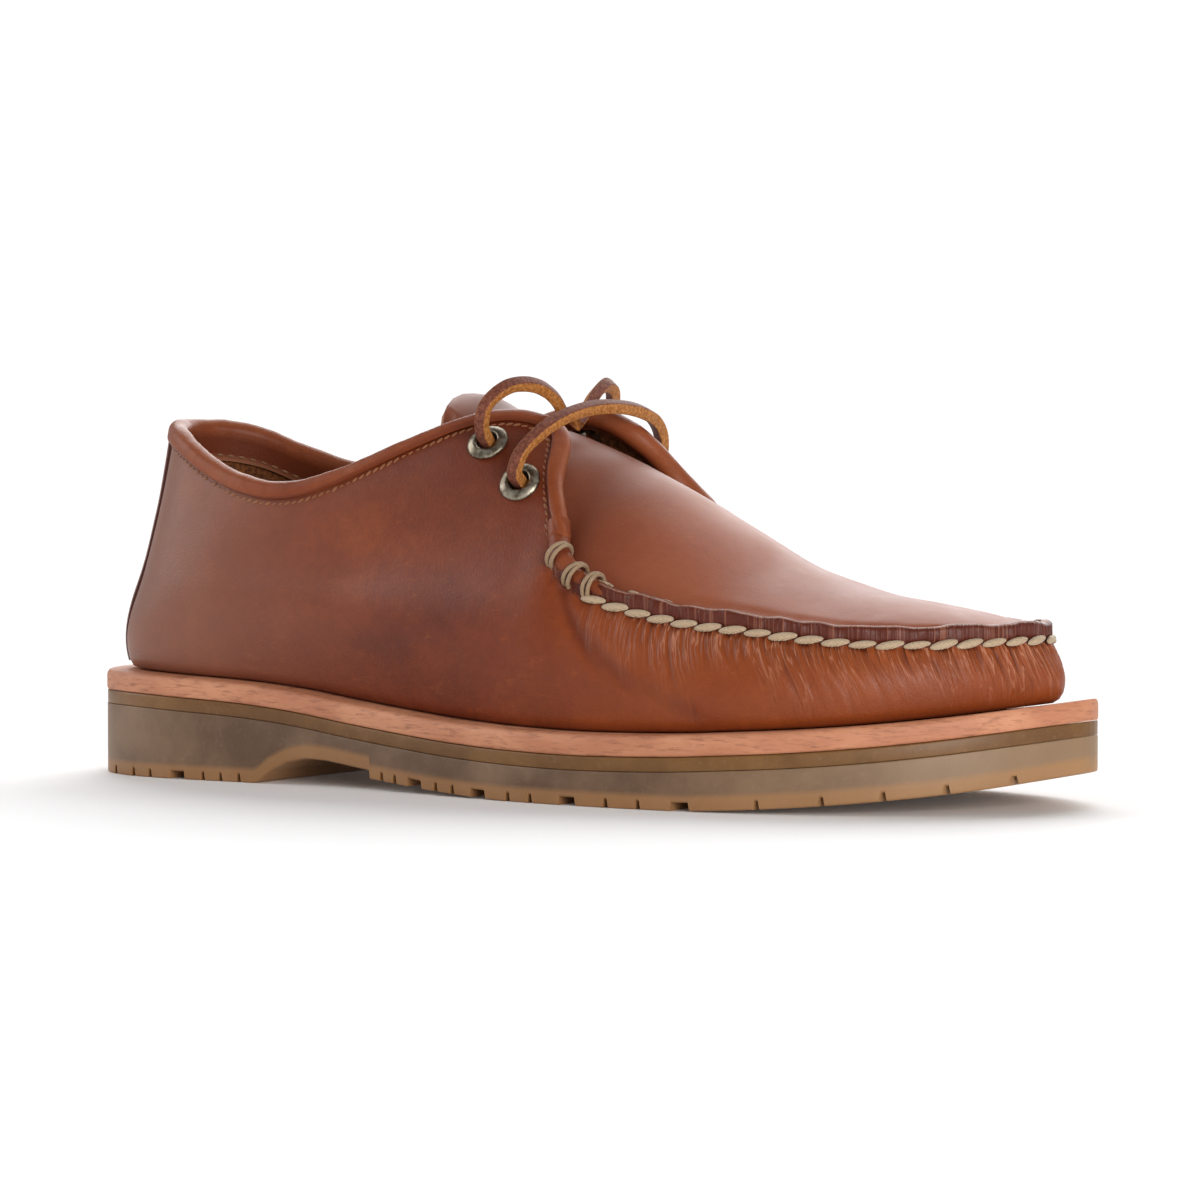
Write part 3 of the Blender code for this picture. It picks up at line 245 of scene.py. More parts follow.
# %% Tables of the upper
# Waist line of the upper: the line halfway up the quarters that becomes the toe's stitch line.
# Share of the way from heel to toe; place as shares of length and width; height above the midsole
# as a share of the upper's rise; and how far the wall leans in there, in degrees from upright.
WAIST_LATERAL = [
    # share, x, y, rise, lean
    (0.0, 0.035, 0.0, 0.4, 18.0), (0.12, 0.093, -0.25, 0.4, 12.0), (0.19, 0.155, -0.312, 0.4, 10.0),
    (0.27, 0.235, -0.335, 0.41, 12.0), (0.355, 0.328, -0.355, 0.44, 18.0),
    (0.43, 0.425, -0.385, 0.5, 26.0), (0.5, 0.52, -0.402, 0.56, 32.0),
    (0.535, 0.562, -0.402, 0.58, 33.0), (0.56, 0.585, -0.4, 0.515, 34.0),
    (0.59, 0.616, -0.399, 0.47, 36.0), (0.63, 0.655, -0.4, 0.428, 38.0),
    (0.68, 0.7, -0.395, 0.39, 38.0), (0.725, 0.745, -0.385, 0.362, 38.0),
    (0.77, 0.79, -0.366, 0.33, 37.0), (0.82, 0.842, -0.322, 0.292, 34.0),
    (0.87, 0.892, -0.247, 0.267, 28.0), (0.92, 0.931, -0.14, 0.25, 23.0),
    (0.96, 0.952, -0.04, 0.24, 20.0), (1.0, 0.96, 0.057, 0.236, 18.0),
]
WAIST_MEDIAL = [
    # share, x, y, rise, lean
    (0.12, 0.093, 0.25, 0.4, 12.0), (0.19, 0.155, 0.3, 0.4, 12.0), (0.27, 0.235, 0.305, 0.42, 16.0),
    (0.355, 0.328, 0.3, 0.46, 22.0), (0.43, 0.425, 0.31, 0.53, 28.0),
    (0.5, 0.536, 0.34, 0.61, 32.0), (0.535, 0.596, 0.356, 0.635, 34.0),
    (0.56, 0.625, 0.362, 0.59, 35.0), (0.59, 0.656, 0.368, 0.53, 36.0),
    (0.63, 0.69, 0.374, 0.47, 37.0), (0.68, 0.724, 0.375, 0.42, 37.0),
    (0.725, 0.762, 0.372, 0.38, 37.0), (0.77, 0.803, 0.356, 0.342, 36.0),
    (0.82, 0.848, 0.318, 0.302, 32.0), (0.87, 0.892, 0.256, 0.27, 28.0),
    (0.92, 0.93, 0.182, 0.248, 23.0), (0.96, 0.951, 0.12, 0.24, 20.0),
]
# Top edge of the quarters, from the heel along the collar to the front corner of the eyelet flap
THROAT_SHARE = 0.535
COLLAR_LATERAL = [
    # share, x, y, rise, lean
    (0.0, 0.066, 0.0, 0.978, 10.0), (0.12, 0.114, -0.2, 0.925, 10.0),
    (0.19, 0.166, -0.262, 0.828, 11.0), (0.235, 0.205, -0.29, 0.78, 13.0),
    (0.27, 0.24, -0.302, 0.765, 16.0), (0.3, 0.272, -0.3, 0.785, 20.0),
    (0.33, 0.305, -0.288, 0.84, 26.0), (0.37, 0.348, -0.266, 0.935, 34.0),
    (0.41, 0.394, -0.226, 1.04, 44.0), (0.45, 0.437, -0.18, 1.122, 54.0),
    (0.485, 0.474, -0.146, 1.148, 60.0), (0.51, 0.5, -0.13, 1.128, 62.0),
    (0.535, 0.524, -0.135, 1.08, 62.0),
]
COLLAR_MEDIAL = [
    # share, x, y, rise, lean
    (0.12, 0.11, 0.2, 0.945, 10.0), (0.19, 0.16, 0.262, 0.865, 12.0),
    (0.235, 0.2, 0.288, 0.822, 15.0), (0.27, 0.235, 0.3, 0.808, 18.0),
    (0.3, 0.268, 0.298, 0.82, 22.0), (0.33, 0.3, 0.288, 0.862, 28.0),
    (0.37, 0.346, 0.268, 0.955, 36.0), (0.41, 0.394, 0.232, 1.06, 46.0),
    (0.45, 0.444, 0.192, 1.145, 55.0), (0.485, 0.486, 0.162, 1.172, 60.0),
    (0.51, 0.518, 0.152, 1.14, 62.0), (0.535, 0.548, 0.162, 1.07, 62.0),
]
# Plug and tongue: height of the middle line above the midsole, as a share of the upper's rise
CROWN = [
    # station, rise
    (0.38, 1.215), (0.4, 1.215), (0.425, 1.18), (0.45, 1.13), (0.483, 1.105), (0.517, 1.062),
    (0.55, 1.01), (0.583, 0.945), (0.617, 0.872), (0.649, 0.795), (0.682, 0.712), (0.723, 0.602),
    (0.763, 0.53), (0.803, 0.472), (0.857, 0.425), (0.9, 0.386), (0.94, 0.33), (0.96, 0.3),
]
# Half width of the tongue at each station, as a share of the sole's width
TONGUE_WIDTH = [
    # station, half_width
    (0.384, 0.07), (0.391, 0.15), (0.404, 0.2), (0.428, 0.228), (0.458, 0.245), (0.49, 0.262),
    (0.52, 0.285), (0.546, 0.296),
]
# Middle of each eyelet: share along from heel to toe, and share of the way up the flap
EYELET_PLACES = [
    # side, number, share, up
    ("lateral", 1, 0.473, 0.790),
    ("lateral", 2, 0.503, 0.530),
    ("medial", 1, 0.473, 0.790),
    ("medial", 2, 0.505, 0.530),
]
# Lace over the tongue, between the two lower eyelets: shares of the distance between them
LACE_BAR = [
    # across, ahead, rise
    (0.0, 0.0, 0.0), (0.005, 0.02, 0.075), (0.08, 0.055, 0.16), (0.2, 0.085, 0.225),
    (0.36, 0.1, 0.262), (0.56, 0.12, 0.268), (0.73, 0.11, 0.245), (0.87, 0.08, 0.205),
    (0.965, 0.045, 0.135), (1.003, 0.015, 0.06), (1.0, 0.0, 0.0),
]
# Free ends of the lace, from each upper eyelet into the throat: same shares, measured inwards
LACE_END_LATERAL = [
    # inward, ahead, rise
    (0.0, 0.0, 0.0), (-0.03, 0.03, 0.105), (0.045, 0.085, 0.185), (0.14, 0.118, 0.2),
    (0.24, 0.142, 0.18), (0.32, 0.158, 0.128), (0.35, 0.165, 0.085),
]
LACE_END_MEDIAL = [
    # inward, ahead, rise
    (0.0, 0.0, 0.0), (-0.02, 0.04, 0.095), (0.06, 0.09, 0.165), (0.17, 0.12, 0.18),
    (0.28, 0.135, 0.135), (0.38, 0.15, 0.065), (0.47, 0.165, 0.015),
]
print("tables read")

# %% Smooth curves through the tables
def distances(points):
    """How far along a path each of its points lies."""
    return np.concatenate([[0], np.cumsum(np.linalg.norm(np.diff(points, axis=0), axis=1))])


def read_at(at, known, values):
    """Columns of values read at the places asked for, on straight lines between the known places."""
    return np.column_stack([np.interp(at, known, column) for column in values.T])


def unit(vectors):
    """The same directions, each with a length of one."""
    return vectors / np.linalg.norm(vectors, axis=-1, keepdims=True)


def tangents(knots, values):
    """Slopes at each knot, from its two neighbours."""
    rise = np.diff(values, axis=0) / np.diff(knots)[:, None]
    before, after = np.diff(knots)[:-1, None], np.diff(knots)[1:, None]
    middle = (rise[:-1] * after + rise[1:] * before) / (before + after)
    return np.vstack([rise[:1], middle, rise[-1:]])


def flow(knots, values, at, slopes=None):
    """A smooth curve through the values, read at the places asked for."""
    knots, values = np.asarray(knots, float), np.asarray(values, float)
    flat = values.ndim == 1
    values = values.reshape(len(knots), -1)
    slopes = tangents(knots, values) if slopes is None else slopes
    at = np.clip(np.atleast_1d(np.asarray(at, float)), knots[0], knots[-1])
    k = np.clip(np.searchsorted(knots, at, side="right") - 1, 0, len(knots) - 2)
    width = (knots[k + 1] - knots[k])[:, None]
    t = (at[:, None] - knots[k][:, None]) / width
    found = (
        (1 + 2 * t) * (1 - t) ** 2 * values[k]
        + t * (1 - t) ** 2 * width * slopes[k]
        + t * t * (3 - 2 * t) * values[k + 1]
        + t * t * (t - 1) * width * slopes[k + 1]
    )
    return found[:, 0] if flat else found


def steady(knots, values):
    """Slopes that never overshoot between two knots, for profiles with flats."""
    knots, values = np.asarray(knots, float), np.asarray(values, float)
    rise = np.diff(values) / np.diff(knots)
    slopes = np.zeros(len(values))
    same_way = rise[:-1] * rise[1:] > 0
    with np.errstate(divide="ignore", invalid="ignore"):
        harmonic = 2 * rise[:-1] * rise[1:] / (rise[:-1] + rise[1:])
    slopes[1:-1] = np.where(same_way, harmonic, 0.0)
    slopes[0], slopes[-1] = rise[0], rise[-1]
    return slopes[:, None]


def profile(table, column, station):
    """A column of a table, read at stations along the shoe."""
    rows = np.array(table, float)
    slopes = steady(rows[:, 0], rows[:, column])
    return flow(rows[:, 0], rows[:, column], station, slopes)


def closed_spline(points, count):
    """Evenly spaced points along a smooth closed curve through the given ones."""
    points = np.asarray(points, float)
    n = len(points)
    step = np.linalg.norm(np.roll(points, -1, axis=0) - points, axis=1)
    matrix = np.zeros((n, n))
    right = np.zeros((n, 2))
    for i in range(n):
        before, after = step[i - 1], step[i]
        matrix[i, i - 1] += after
        matrix[i, i] += 2 * (before + after)
        matrix[i, (i + 1) % n] += before
        right[i] = 3 * (
            after * (points[i] - points[i - 1]) / before
            + before * (points[(i + 1) % n] - points[i]) / after
        )
    slopes = np.linalg.solve(matrix, right)
    knots = np.concatenate([[0], np.cumsum(step)])
    around = np.vstack([points, points[:1]])
    slopes = np.vstack([slopes, slopes[:1]])
    fine = flow(knots, around, np.linspace(0, knots[-1], 20 * n + 1), slopes)
    length = distances(fine)
    return read_at(np.linspace(0, length[-1], count, endpoint=False), length, fine)


def outline_sides():
    """The sole's edge from heel to toe, as dense points on the lateral and on the medial side."""
    rows = np.array(SOLE_OUTLINE) * (SOLE_LENGTH, SOLE_WIDTH, SOLE_WIDTH)
    lateral = rows[:, :2] * (1, -1)
    medial = rows[1:-1, ::2][::-1]
    around = closed_spline(np.vstack([lateral, medial]), 1440)
    heel, toe = around[:, 0].argmin(), around[:, 0].argmax()
    around = np.roll(around, -heel, axis=0)
    toe = (toe - heel) % len(around)
    return around[: toe + 1], np.vstack([around[:1], around[toe:][::-1]])


LATERAL_EDGE, MEDIAL_EDGE = outline_sides()
AXIS_SHIFT = (LATERAL_EDGE[:, 1].min() + MEDIAL_EDGE[:, 1].max()) / 2
SHIFT = np.array([SOLE_LENGTH / 2, AXIS_SHIFT, 0.0])
print("outline points:", len(LATERAL_EDGE) + len(MEDIAL_EDGE))

# %% Lines of the sole and the upper
# Share of the edge, to each side, over which its direction is measured
EDGE_REACH = 0.006
# How far a curve's handles reach from its ends, as a share of its length
CURVE_REACH = 0.38


def edge_at(share, side):
    """Point of the sole's edge and its outward direction, at a share of the way from heel to toe."""
    edge = LATERAL_EDGE if side == "lateral" else MEDIAL_EDGE
    along = distances(edge)
    along /= along[-1]
    at = np.atleast_1d(share)
    middle = np.clip(at, EDGE_REACH, 1 - EDGE_REACH)
    ahead = unit(read_at(middle + EDGE_REACH, along, edge) - read_at(middle - EDGE_REACH, along, edge))
    outward = ahead[:, ::-1] * ((1, -1) if side == "lateral" else (-1, 1))
    tip = np.clip(np.abs(at - middle) / EDGE_REACH, 0, 1)[:, None]
    outward = outward * (1 - tip) + np.column_stack([np.where(at < 0.5, -1, 1), at * 0]) * tip
    return read_at(at, along, edge), unit(outward)


def sole_top(x):
    """Height of the midsole's top face above the floor."""
    station = np.asarray(x, float) / SOLE_LENGTH
    heel = profile(SOLE_PROFILE, 1, station) * HEEL_LIFT
    toe = profile(SOLE_PROFILE, 2, station) * TOE_SPRING
    return SOLE_STACK + heel + toe


def sole_bottom(x):
    """Height of the outsole's tread face above the floor, without its grooves."""
    station = np.atleast_1d(np.asarray(x, float) / SOLE_LENGTH)
    toe = profile(SOLE_PROFILE, 3, station) * TOE_SPRING
    rows = np.array(ARCH)
    arch = np.interp(station, rows[:, 0], rows[:, 1], left=0, right=0) * ARCH_RISE
    return toe + arch


def ledge(share):
    """How far the midsole stands out past the upper, which grows towards the toe."""
    toeward = np.clip((np.asarray(share, float) - 0.7) / 0.3, 0, 1)
    return SIDE_LEDGE + (TOE_LEDGE - SIDE_LEDGE) * toeward * toeward * (3 - 2 * toeward)


def around_table(lateral, medial):
    """One table round the whole shoe: its knots run from -1 at the medial toe to 1 at the lateral one."""
    toe = [row for row in lateral if row[0] >= 1]
    return np.array([(-row[0], *row[1:]) for row in (medial + toe)[::-1]] + lateral)


def line_point(rows, turn):
    """x, y, z and lean on a table line, at turns from -1 (medial) through 0 (heel) to 1 (lateral)."""
    slopes = tangents(rows[:, 0], rows[:, 1:])
    # A line that goes all the way round has one slope where its two ends meet at the toe
    if rows[-1, 0] >= 1:
        joined = (slopes[0] + slopes[-1]) / 2
        joined[1] = slopes[-1][1]
        slopes[0], slopes[-1] = joined, joined
        slopes[0, 0] = slopes[-1, 0] = 0
    found = flow(rows[:, 0], rows[:, 1:], turn, slopes)
    x, y = found[:, 0] * SOLE_LENGTH, found[:, 1] * SOLE_WIDTH
    z = sole_top(x) + found[:, 2] * UPPER_RISE
    return np.column_stack([x, y, z]), np.radians(found[:, 3])


WAIST = around_table(WAIST_LATERAL, WAIST_MEDIAL)
COLLAR = around_table(COLLAR_LATERAL, COLLAR_MEDIAL)


def side_of(turn):
    """The side of the shoe that a turn is on."""
    return "lateral" if turn >= 0 else "medial"


def outward_at(turn):
    """The level direction out of the shoe."""
    _, outward = edge_at(abs(turn), side_of(turn))
    return np.array([outward[0][0], outward[0][1], 0.0])


def feather_at(turn, inset=0.0):
    """Point of the upper's bottom edge, and further in by inset."""
    point, outward = edge_at(abs(turn), side_of(turn))
    place = point[0] - outward[0] * (ledge(abs(turn)) + FEATHER_TUCK + inset)
    return np.array([place[0], place[1], sole_top(place[0])[0] + GAP])


def curve_between(start, start_way, end, end_way, shares):
    """Points on a cubic curve that leaves and arrives along the two given directions."""
    reach = np.linalg.norm(end - start) * CURVE_REACH
    corners = [start, start + start_way * reach, end - end_way * reach, end]
    t = np.asarray(shares)[:, None]
    weights = [(1 - t) ** 3, 3 * t * (1 - t) ** 2, 3 * t * t * (1 - t), t**3]
    return sum(w * c for w, c in zip(weights, corners))


UP = np.array([0.0, 0.0, 1.0])
# How far the wall leans out where it leaves the sole
BULGE = math.radians(16)


def leaning(turn, lean):
    """The way up a wall that leans in by an angle."""
    return math.cos(lean) * UP - math.sin(lean) * outward_at(turn)


def plug_boundary(turn, drop, inset):
    """A point inside the raised seam, below its top by drop and in from its outer face by inset."""
    waist, _ = line_point(WAIST, turn)
    top = waist[0] + UP * (RIDGE_HEIGHT - drop)
    return top - outward_at(turn) * inset


def crown_height(x):
    """Height of the plug's and the tongue's middle line above the floor."""
    return sole_top(x) + profile(CROWN, 1, np.asarray(x) / SOLE_LENGTH) * UPPER_RISE


print("waist rows:", len(WAIST), "collar rows:", len(COLLAR))

# %% [markdown]
# Leather is never quite smooth. A lattice of random values, blended smoothly, gives soft lumps when
# it is sampled evenly and long wrinkles when it is stretched one way. One helper serves for both, and
# it always starts from the same seed.

# %% Helpers: smooth noise and meshes
LATTICE = np.random.default_rng(7).random((256, 256))


def soft_noise(x, y):
    """Smooth random values from 0 to 1 over two coordinates."""
    x, y = np.broadcast_arrays(np.asarray(x, float), np.asarray(y, float))
    ix, iy = np.floor(x).astype(int), np.floor(y).astype(int)
    fx, fy = x - ix, y - iy
    fx, fy = fx * fx * (3 - 2 * fx), fy * fy * (3 - 2 * fy)
    corner = [[LATTICE[(ix + a) % 256, (iy + b) % 256] for b in (0, 1)] for a in (0, 1)]
    low = corner[0][0] * (1 - fx) + corner[1][0] * fx
    high = corner[0][1] * (1 - fx) + corner[1][1] * fx
    return low * (1 - fy) + high * fy


def add_piece(name, points, faces, material, stands_for=None, slot=None, masks=None, bend=50):
    """A mesh piece in the shoe's millimetres, riding on the shoe, with named masks for its material.

    It takes the place of the CAD node that it stands for. The slot that it is given is not used.
    """
    placed = (np.asarray(points, float) - SHIFT) * MM
    mesh = bpy.data.meshes.new(name)
    mesh.from_pydata(placed.tolist(), [], [list(map(int, face)) for face in faces])
    mesh.validate()
    for mask, values in (masks or {}).items():
        layer = mesh.attributes.new(mask, "FLOAT", "POINT")
        layer.data.foreach_set("value", np.asarray(values, np.float32).ravel())
    mesh.materials.append(material)
    mesh.shade_smooth()
    mesh.set_sharp_from_angle(angle=math.radians(bend))
    piece = add_object(name, mesh)
    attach(piece, "root")
    if stands_for:
        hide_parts(stands_for)
    slot or stands_for
    print(f"{name}: {len(mesh.polygons)} faces")
    return piece


def shell_mesh(outer, inner, filled):
    """One closed wall from two matching grids; filled says which cells of the grid are there."""
    lines, rows = outer.shape[:2]
    points = np.vstack([outer.reshape(-1, 3), inner.reshape(-1, 3)])
    half = lines * rows

    def corner(line, row, layer):
        return (line % lines) * rows + row + layer * half

    faces = []
    for line in range(filled.shape[0]):
        for row in range(rows - 1):
            if not filled[line, row]:
                continue
            ring = [(line, row), (line + 1, row), (line + 1, row + 1), (line, row + 1)]
            faces.append([corner(*at, 0) for at in ring])
            faces.append([corner(*at, 1) for at in ring[::-1]])
            beside = [
                (row == 0 or not filled[line, row - 1], ring[0], ring[1]),
                (not is_filled(filled, line + 1, row, lines), ring[1], ring[2]),
                (row + 1 >= rows - 1 or not filled[line, row + 1], ring[2], ring[3]),
                (not is_filled(filled, line - 1, row, lines), ring[3], ring[0]),
            ]
            for is_open, one, two in beside:
                if is_open:
                    faces.append([corner(*two, 0), corner(*one, 0), corner(*one, 1), corner(*two, 1)])
    used = sorted({index for face in faces for index in face})
    renumber = {old: new for new, old in enumerate(used)}
    return points[used], [[renumber[index] for index in face] for face in faces]


def is_filled(filled, line, row, lines):
    """Whether a cell is there, on a grid that closes on itself or ends at its first and last line."""
    if filled.shape[0] == lines:
        return filled[line % lines, row]
    return 0 <= line < filled.shape[0] and filled[line, row]


def grid_normals(grid, closed):
    """Unit normals of a grid of points, outwards on the upper."""
    if closed:
        along = np.roll(grid, -1, axis=0) - np.roll(grid, 1, axis=0)
    else:
        along = np.gradient(grid, axis=0)
    normals = np.cross(along, np.gradient(grid, axis=1))
    return normals / np.maximum(np.linalg.norm(normals, axis=2), 1e-9)[:, :, None]


def loft(sections):
    """A closed body through sections with the same number of points, with flat ends."""
    count = len(sections[0])
    points = np.vstack(sections)
    faces = [list(range(count))[::-1]]
    for k in range(len(sections) - 1):
        for i in range(count):
            j = (i + 1) % count
            a, b = k * count, (k + 1) * count
            faces.append([a + i, a + j, b + j, b + i])
    last = (len(sections) - 1) * count
    faces.append([last + i for i in range(count)])
    return points, faces


# %% Helpers: a section carried along a path
def smooth_path(points, count):
    """Evenly spaced points on a smooth curve through the given ones."""
    points = np.asarray(points, float)
    step = distances(points)
    fine = flow(step, points, np.linspace(0, step[-1], 8 * count))
    length = distances(fine)
    return read_at(np.linspace(0, length[-1], count), length, fine)


def path_sides(path, lead):
    """Sideways and outward directions that turn as little as possible along a path."""
    sides, deep = [], np.asarray(lead, float)
    for way in unit(np.gradient(path, axis=0)):
        deep = unit(deep - way * deep.dot(way))
        sides.append((np.cross(way, deep), deep))
    return sides


def sweep(path, outline, size, lead):
    """A closed body: an outline of (sideways, outward) shares, carried along the path."""
    sizes = np.broadcast_to(size, len(path))
    sections = [
        [point + (wide * a + deep * b) * s for a, b in outline]
        for point, (wide, deep), s in zip(path, path_sides(path, lead), sizes)
    ]
    points, faces = loft(sections)
    fans = [(face[0], face[i], face[i + 1]) for face in faces for i in range(1, len(face) - 1)]
    volume = sum(np.dot(points[a], np.cross(points[b], points[c])) for a, b, c in fans)
    return points, faces if volume > 0 else [face[::-1] for face in faces]


def round_outline(count):
    """Points of a circle with a radius of one."""
    angles = np.linspace(0, 2 * math.pi, count, endpoint=False)
    return np.column_stack([np.cos(angles), np.sin(angles)])


print("path helpers ready")

# %% [markdown]
# A finish is a set of nodes. The effects that several finishes share are node groups: a pebbled
# grain, and the uneven dye of oiled leather that lightens where it is pulled. Each finish then has
# its own Principled shader.

# %% Node helpers
def feed(tree, socket, value):
    """Links a socket to another one, or gives it a plain value."""
    if isinstance(value, bpy.types.NodeSocket):
        tree.links.new(value, socket)
    else:
        socket.default_value = value


def add_node(tree, kind, settings=(), **inputs):
    """A node with its settings, and its inputs by name, or by number as i0 or i1."""
    node = tree.nodes.new(kind)
    for key, value in dict(settings).items():
        setattr(node, key, value)
    for key, value in inputs.items():
        by_number = key[0] == "i" and key[1:].isdigit()
        feed(tree, node.inputs[int(key[1:]) if by_number else key.replace("_", " ")], value)
    return node


def maths(tree, operation, *values):
    """The result of a sum on plain numbers or sockets."""
    node = add_node(tree, "ShaderNodeMath", {"operation": operation})
    for socket, value in zip(node.inputs, values):
        feed(tree, socket, value)
    return node.outputs[0]


def plus(tree, a, b):
    return maths(tree, "ADD", a, b)


def times(tree, value, *factors):
    for factor in factors:
        value = maths(tree, "MULTIPLY", value, factor)
    return value


def ramp(tree, value, low, high):
    """0 up to low and 1 from high on, with a smooth climb between them."""
    smooth = {"interpolation_type": "SMOOTHSTEP"}
    node = add_node(tree, "ShaderNodeMapRange", smooth, Value=value, From_Min=low, From_Max=high)
    return node.outputs["Result"]


def blend_colour(tree, share, a, b):
    return add_node(tree, "ShaderNodeMix", {"data_type": "RGBA"}, i0=share, i6=a, i7=b).outputs[2]


def noise(tree, place, scale, detail=3.0, rough=0.5, stretch=None):
    """Values of a noise texture, which can be stretched along the axes."""
    if stretch:
        place = add_node(tree, "ShaderNodeMapping", i0=place, i3=stretch).outputs[0]
    settings = {"Scale": scale, "Detail": detail, "Roughness": rough}
    return add_node(tree, "ShaderNodeTexNoise", Vector=place, **settings).outputs["Fac"]


def new_group(name, inputs, outputs):
    """An empty node group with its named sockets. Everything that it puts out is a plain number."""
    group = bpy.data.node_groups.new(name, "ShaderNodeTree")
    for label, kind in inputs.items():
        group.interface.new_socket(label, in_out="INPUT", socket_type=kind)
    for label in outputs:
        group.interface.new_socket(label, in_out="OUTPUT", socket_type="NodeSocketFloat")
    return group, group.nodes.new("NodeGroupInput").outputs, group.nodes.new("NodeGroupOutput").inputs


print("node helpers ready")

# %% Shared effects: leather grain and oiled dye
def build_grain():
    """Height of a pebbled leather grain: fine cells, pores and a slow unevenness."""
    inputs = {"Place": "NodeSocketVector", "Size": "NodeSocketFloat"}
    group, given, put = new_group("leather_grain", inputs, ["Height"])
    place = given["Place"]
    cells = add_node(group, "ShaderNodeTexVoronoi", Vector=place, Scale=given["Size"]).outputs["Distance"]
    pores = times(group, noise(group, place, 2600.0, 2.0), 0.2)
    slow = times(group, noise(group, place, 260.0, 4.0, 0.6), 0.45)
    group.links.new(plus(group, plus(group, times(group, cells, 0.35), pores), slow), put["Height"])
    return group


def build_dye():
    """Masks of an oiled, pulled-up dye: pale stretched places, dark waxy ones, specks and a fine mottle."""
    labels = ["Pale", "Dark", "Specks", "Mottle"]
    group, given, put = new_group("oiled_dye", {"Place": "NodeSocketVector"}, labels)
    place = given["Place"]
    broad = times(group, noise(group, place, 16.0, 3.0, 0.5, (1.0, 1.0, 1.7)), 0.7)
    pale = plus(group, broad, times(group, noise(group, place, 60.0, 5.0, 0.62), 0.3))
    scuff = noise(group, place, 420.0, 6.0, 0.7, (0.35, 0.35, 1.0))
    masks = {
        "Pale": (pale, 0.47, 0.66),
        "Dark": (maths(group, "SUBTRACT", 1.0, pale), 0.5, 0.72),
        "Specks": (scuff, 0.56, 0.72),
        "Mottle": (noise(group, place, 330.0, 5.0, 0.72), 0.36, 0.64),
    }
    for label, limits in masks.items():
        group.links.new(ramp(group, *limits), put[label])
    return group


GRAIN, DYE = build_grain(), build_dye()
print("shared groups:", GRAIN.name, DYE.name)

# %% How a finish is built
class Finish:
    """A material in the making. Colours are laid over one another, each where its mask says."""

    def __init__(self, name, roughness, colour, **sockets):
        self.material = bpy.data.materials.new(name)
        self.material.use_nodes = True
        self.tree = self.material.node_tree
        self.shader = self.tree.nodes["Principled BSDF"].inputs
        sockets |= {"Roughness": roughness, "Coat_Roughness": 0.32, "Sheen_Roughness": 0.45}
        for label, value in sockets.items():
            self.shader[label.replace("_", " ")].default_value = value
        self.place = add_node(self.tree, "ShaderNodeTexCoord").outputs["Object"]
        self.colour = colour

    def noise(self, *settings):
        return noise(self.tree, self.place, *settings)

    def ramp(self, value, low, high):
        return ramp(self.tree, value, low, high)

    def mask(self, name):
        """A mask that the mesh carries on its points."""
        return add_node(self.tree, "ShaderNodeAttribute", {"attribute_name": name}).outputs["Fac"]

    def region(self, axis, low, high):
        """A mask that comes in between two places on an axis, in metres."""
        parts = add_node(self.tree, "ShaderNodeSeparateXYZ", i0=self.place).outputs
        return self.ramp(parts[axis], low, high)

    def lay(self, colour, share, *factors):
        """Lays a colour over those below, as strongly as the product of the given numbers."""
        self.colour = blend_colour(self.tree, times(self.tree, share, *factors), self.colour, colour)

    def done(self, height, strength, distance):
        """Joins the colour and a bump to the shader."""
        self.tree.links.new(self.colour, self.shader["Base Color"])
        settings = {"Strength": strength, "Distance": distance, "Height": height}
        feed(self.tree, self.shader["Normal"], add_node(self.tree, "ShaderNodeBump", **settings).outputs[0])
        return self.material


print("a finish starts from", len(bpy.data.node_groups), "shared groups")

# %% Leather finishes
RAW_EDGE, PUCKER_CREST = (0.62, 0.36, 0.22, 1), (0.46, 0.19, 0.11, 1)
# Wrinkles per millimetre along the seam and down from it, their slant and the bump's depth
PUCKER_SCALE, DROP_SCALE, PUCKER_SLANT, PUCKER_DEPTH = 0.42, 0.045, 0.9, -7.0
ROUGHNESS_SPREAD = 0.22


def pucker_lines(made):
    """Fine upright wrinkles at the seam, drawn from the two distances that the upper's mesh carries."""
    tree = made.tree
    drop = times(tree, made.mask("seam_drop"), DROP_SCALE)
    across = times(tree, made.mask("seam_along"), PUCKER_SCALE)
    slanted = plus(tree, across, times(tree, drop, PUCKER_SLANT))
    spot = add_node(tree, "ShaderNodeCombineXYZ", X=slanted, Y=drop).outputs[0]
    lines = noise(tree, spot, 1.0, 2.5, 0.55)
    return maths(tree, "ABSOLUTE", maths(tree, "SUBTRACT", lines, 0.5)), made.mask("pucker")


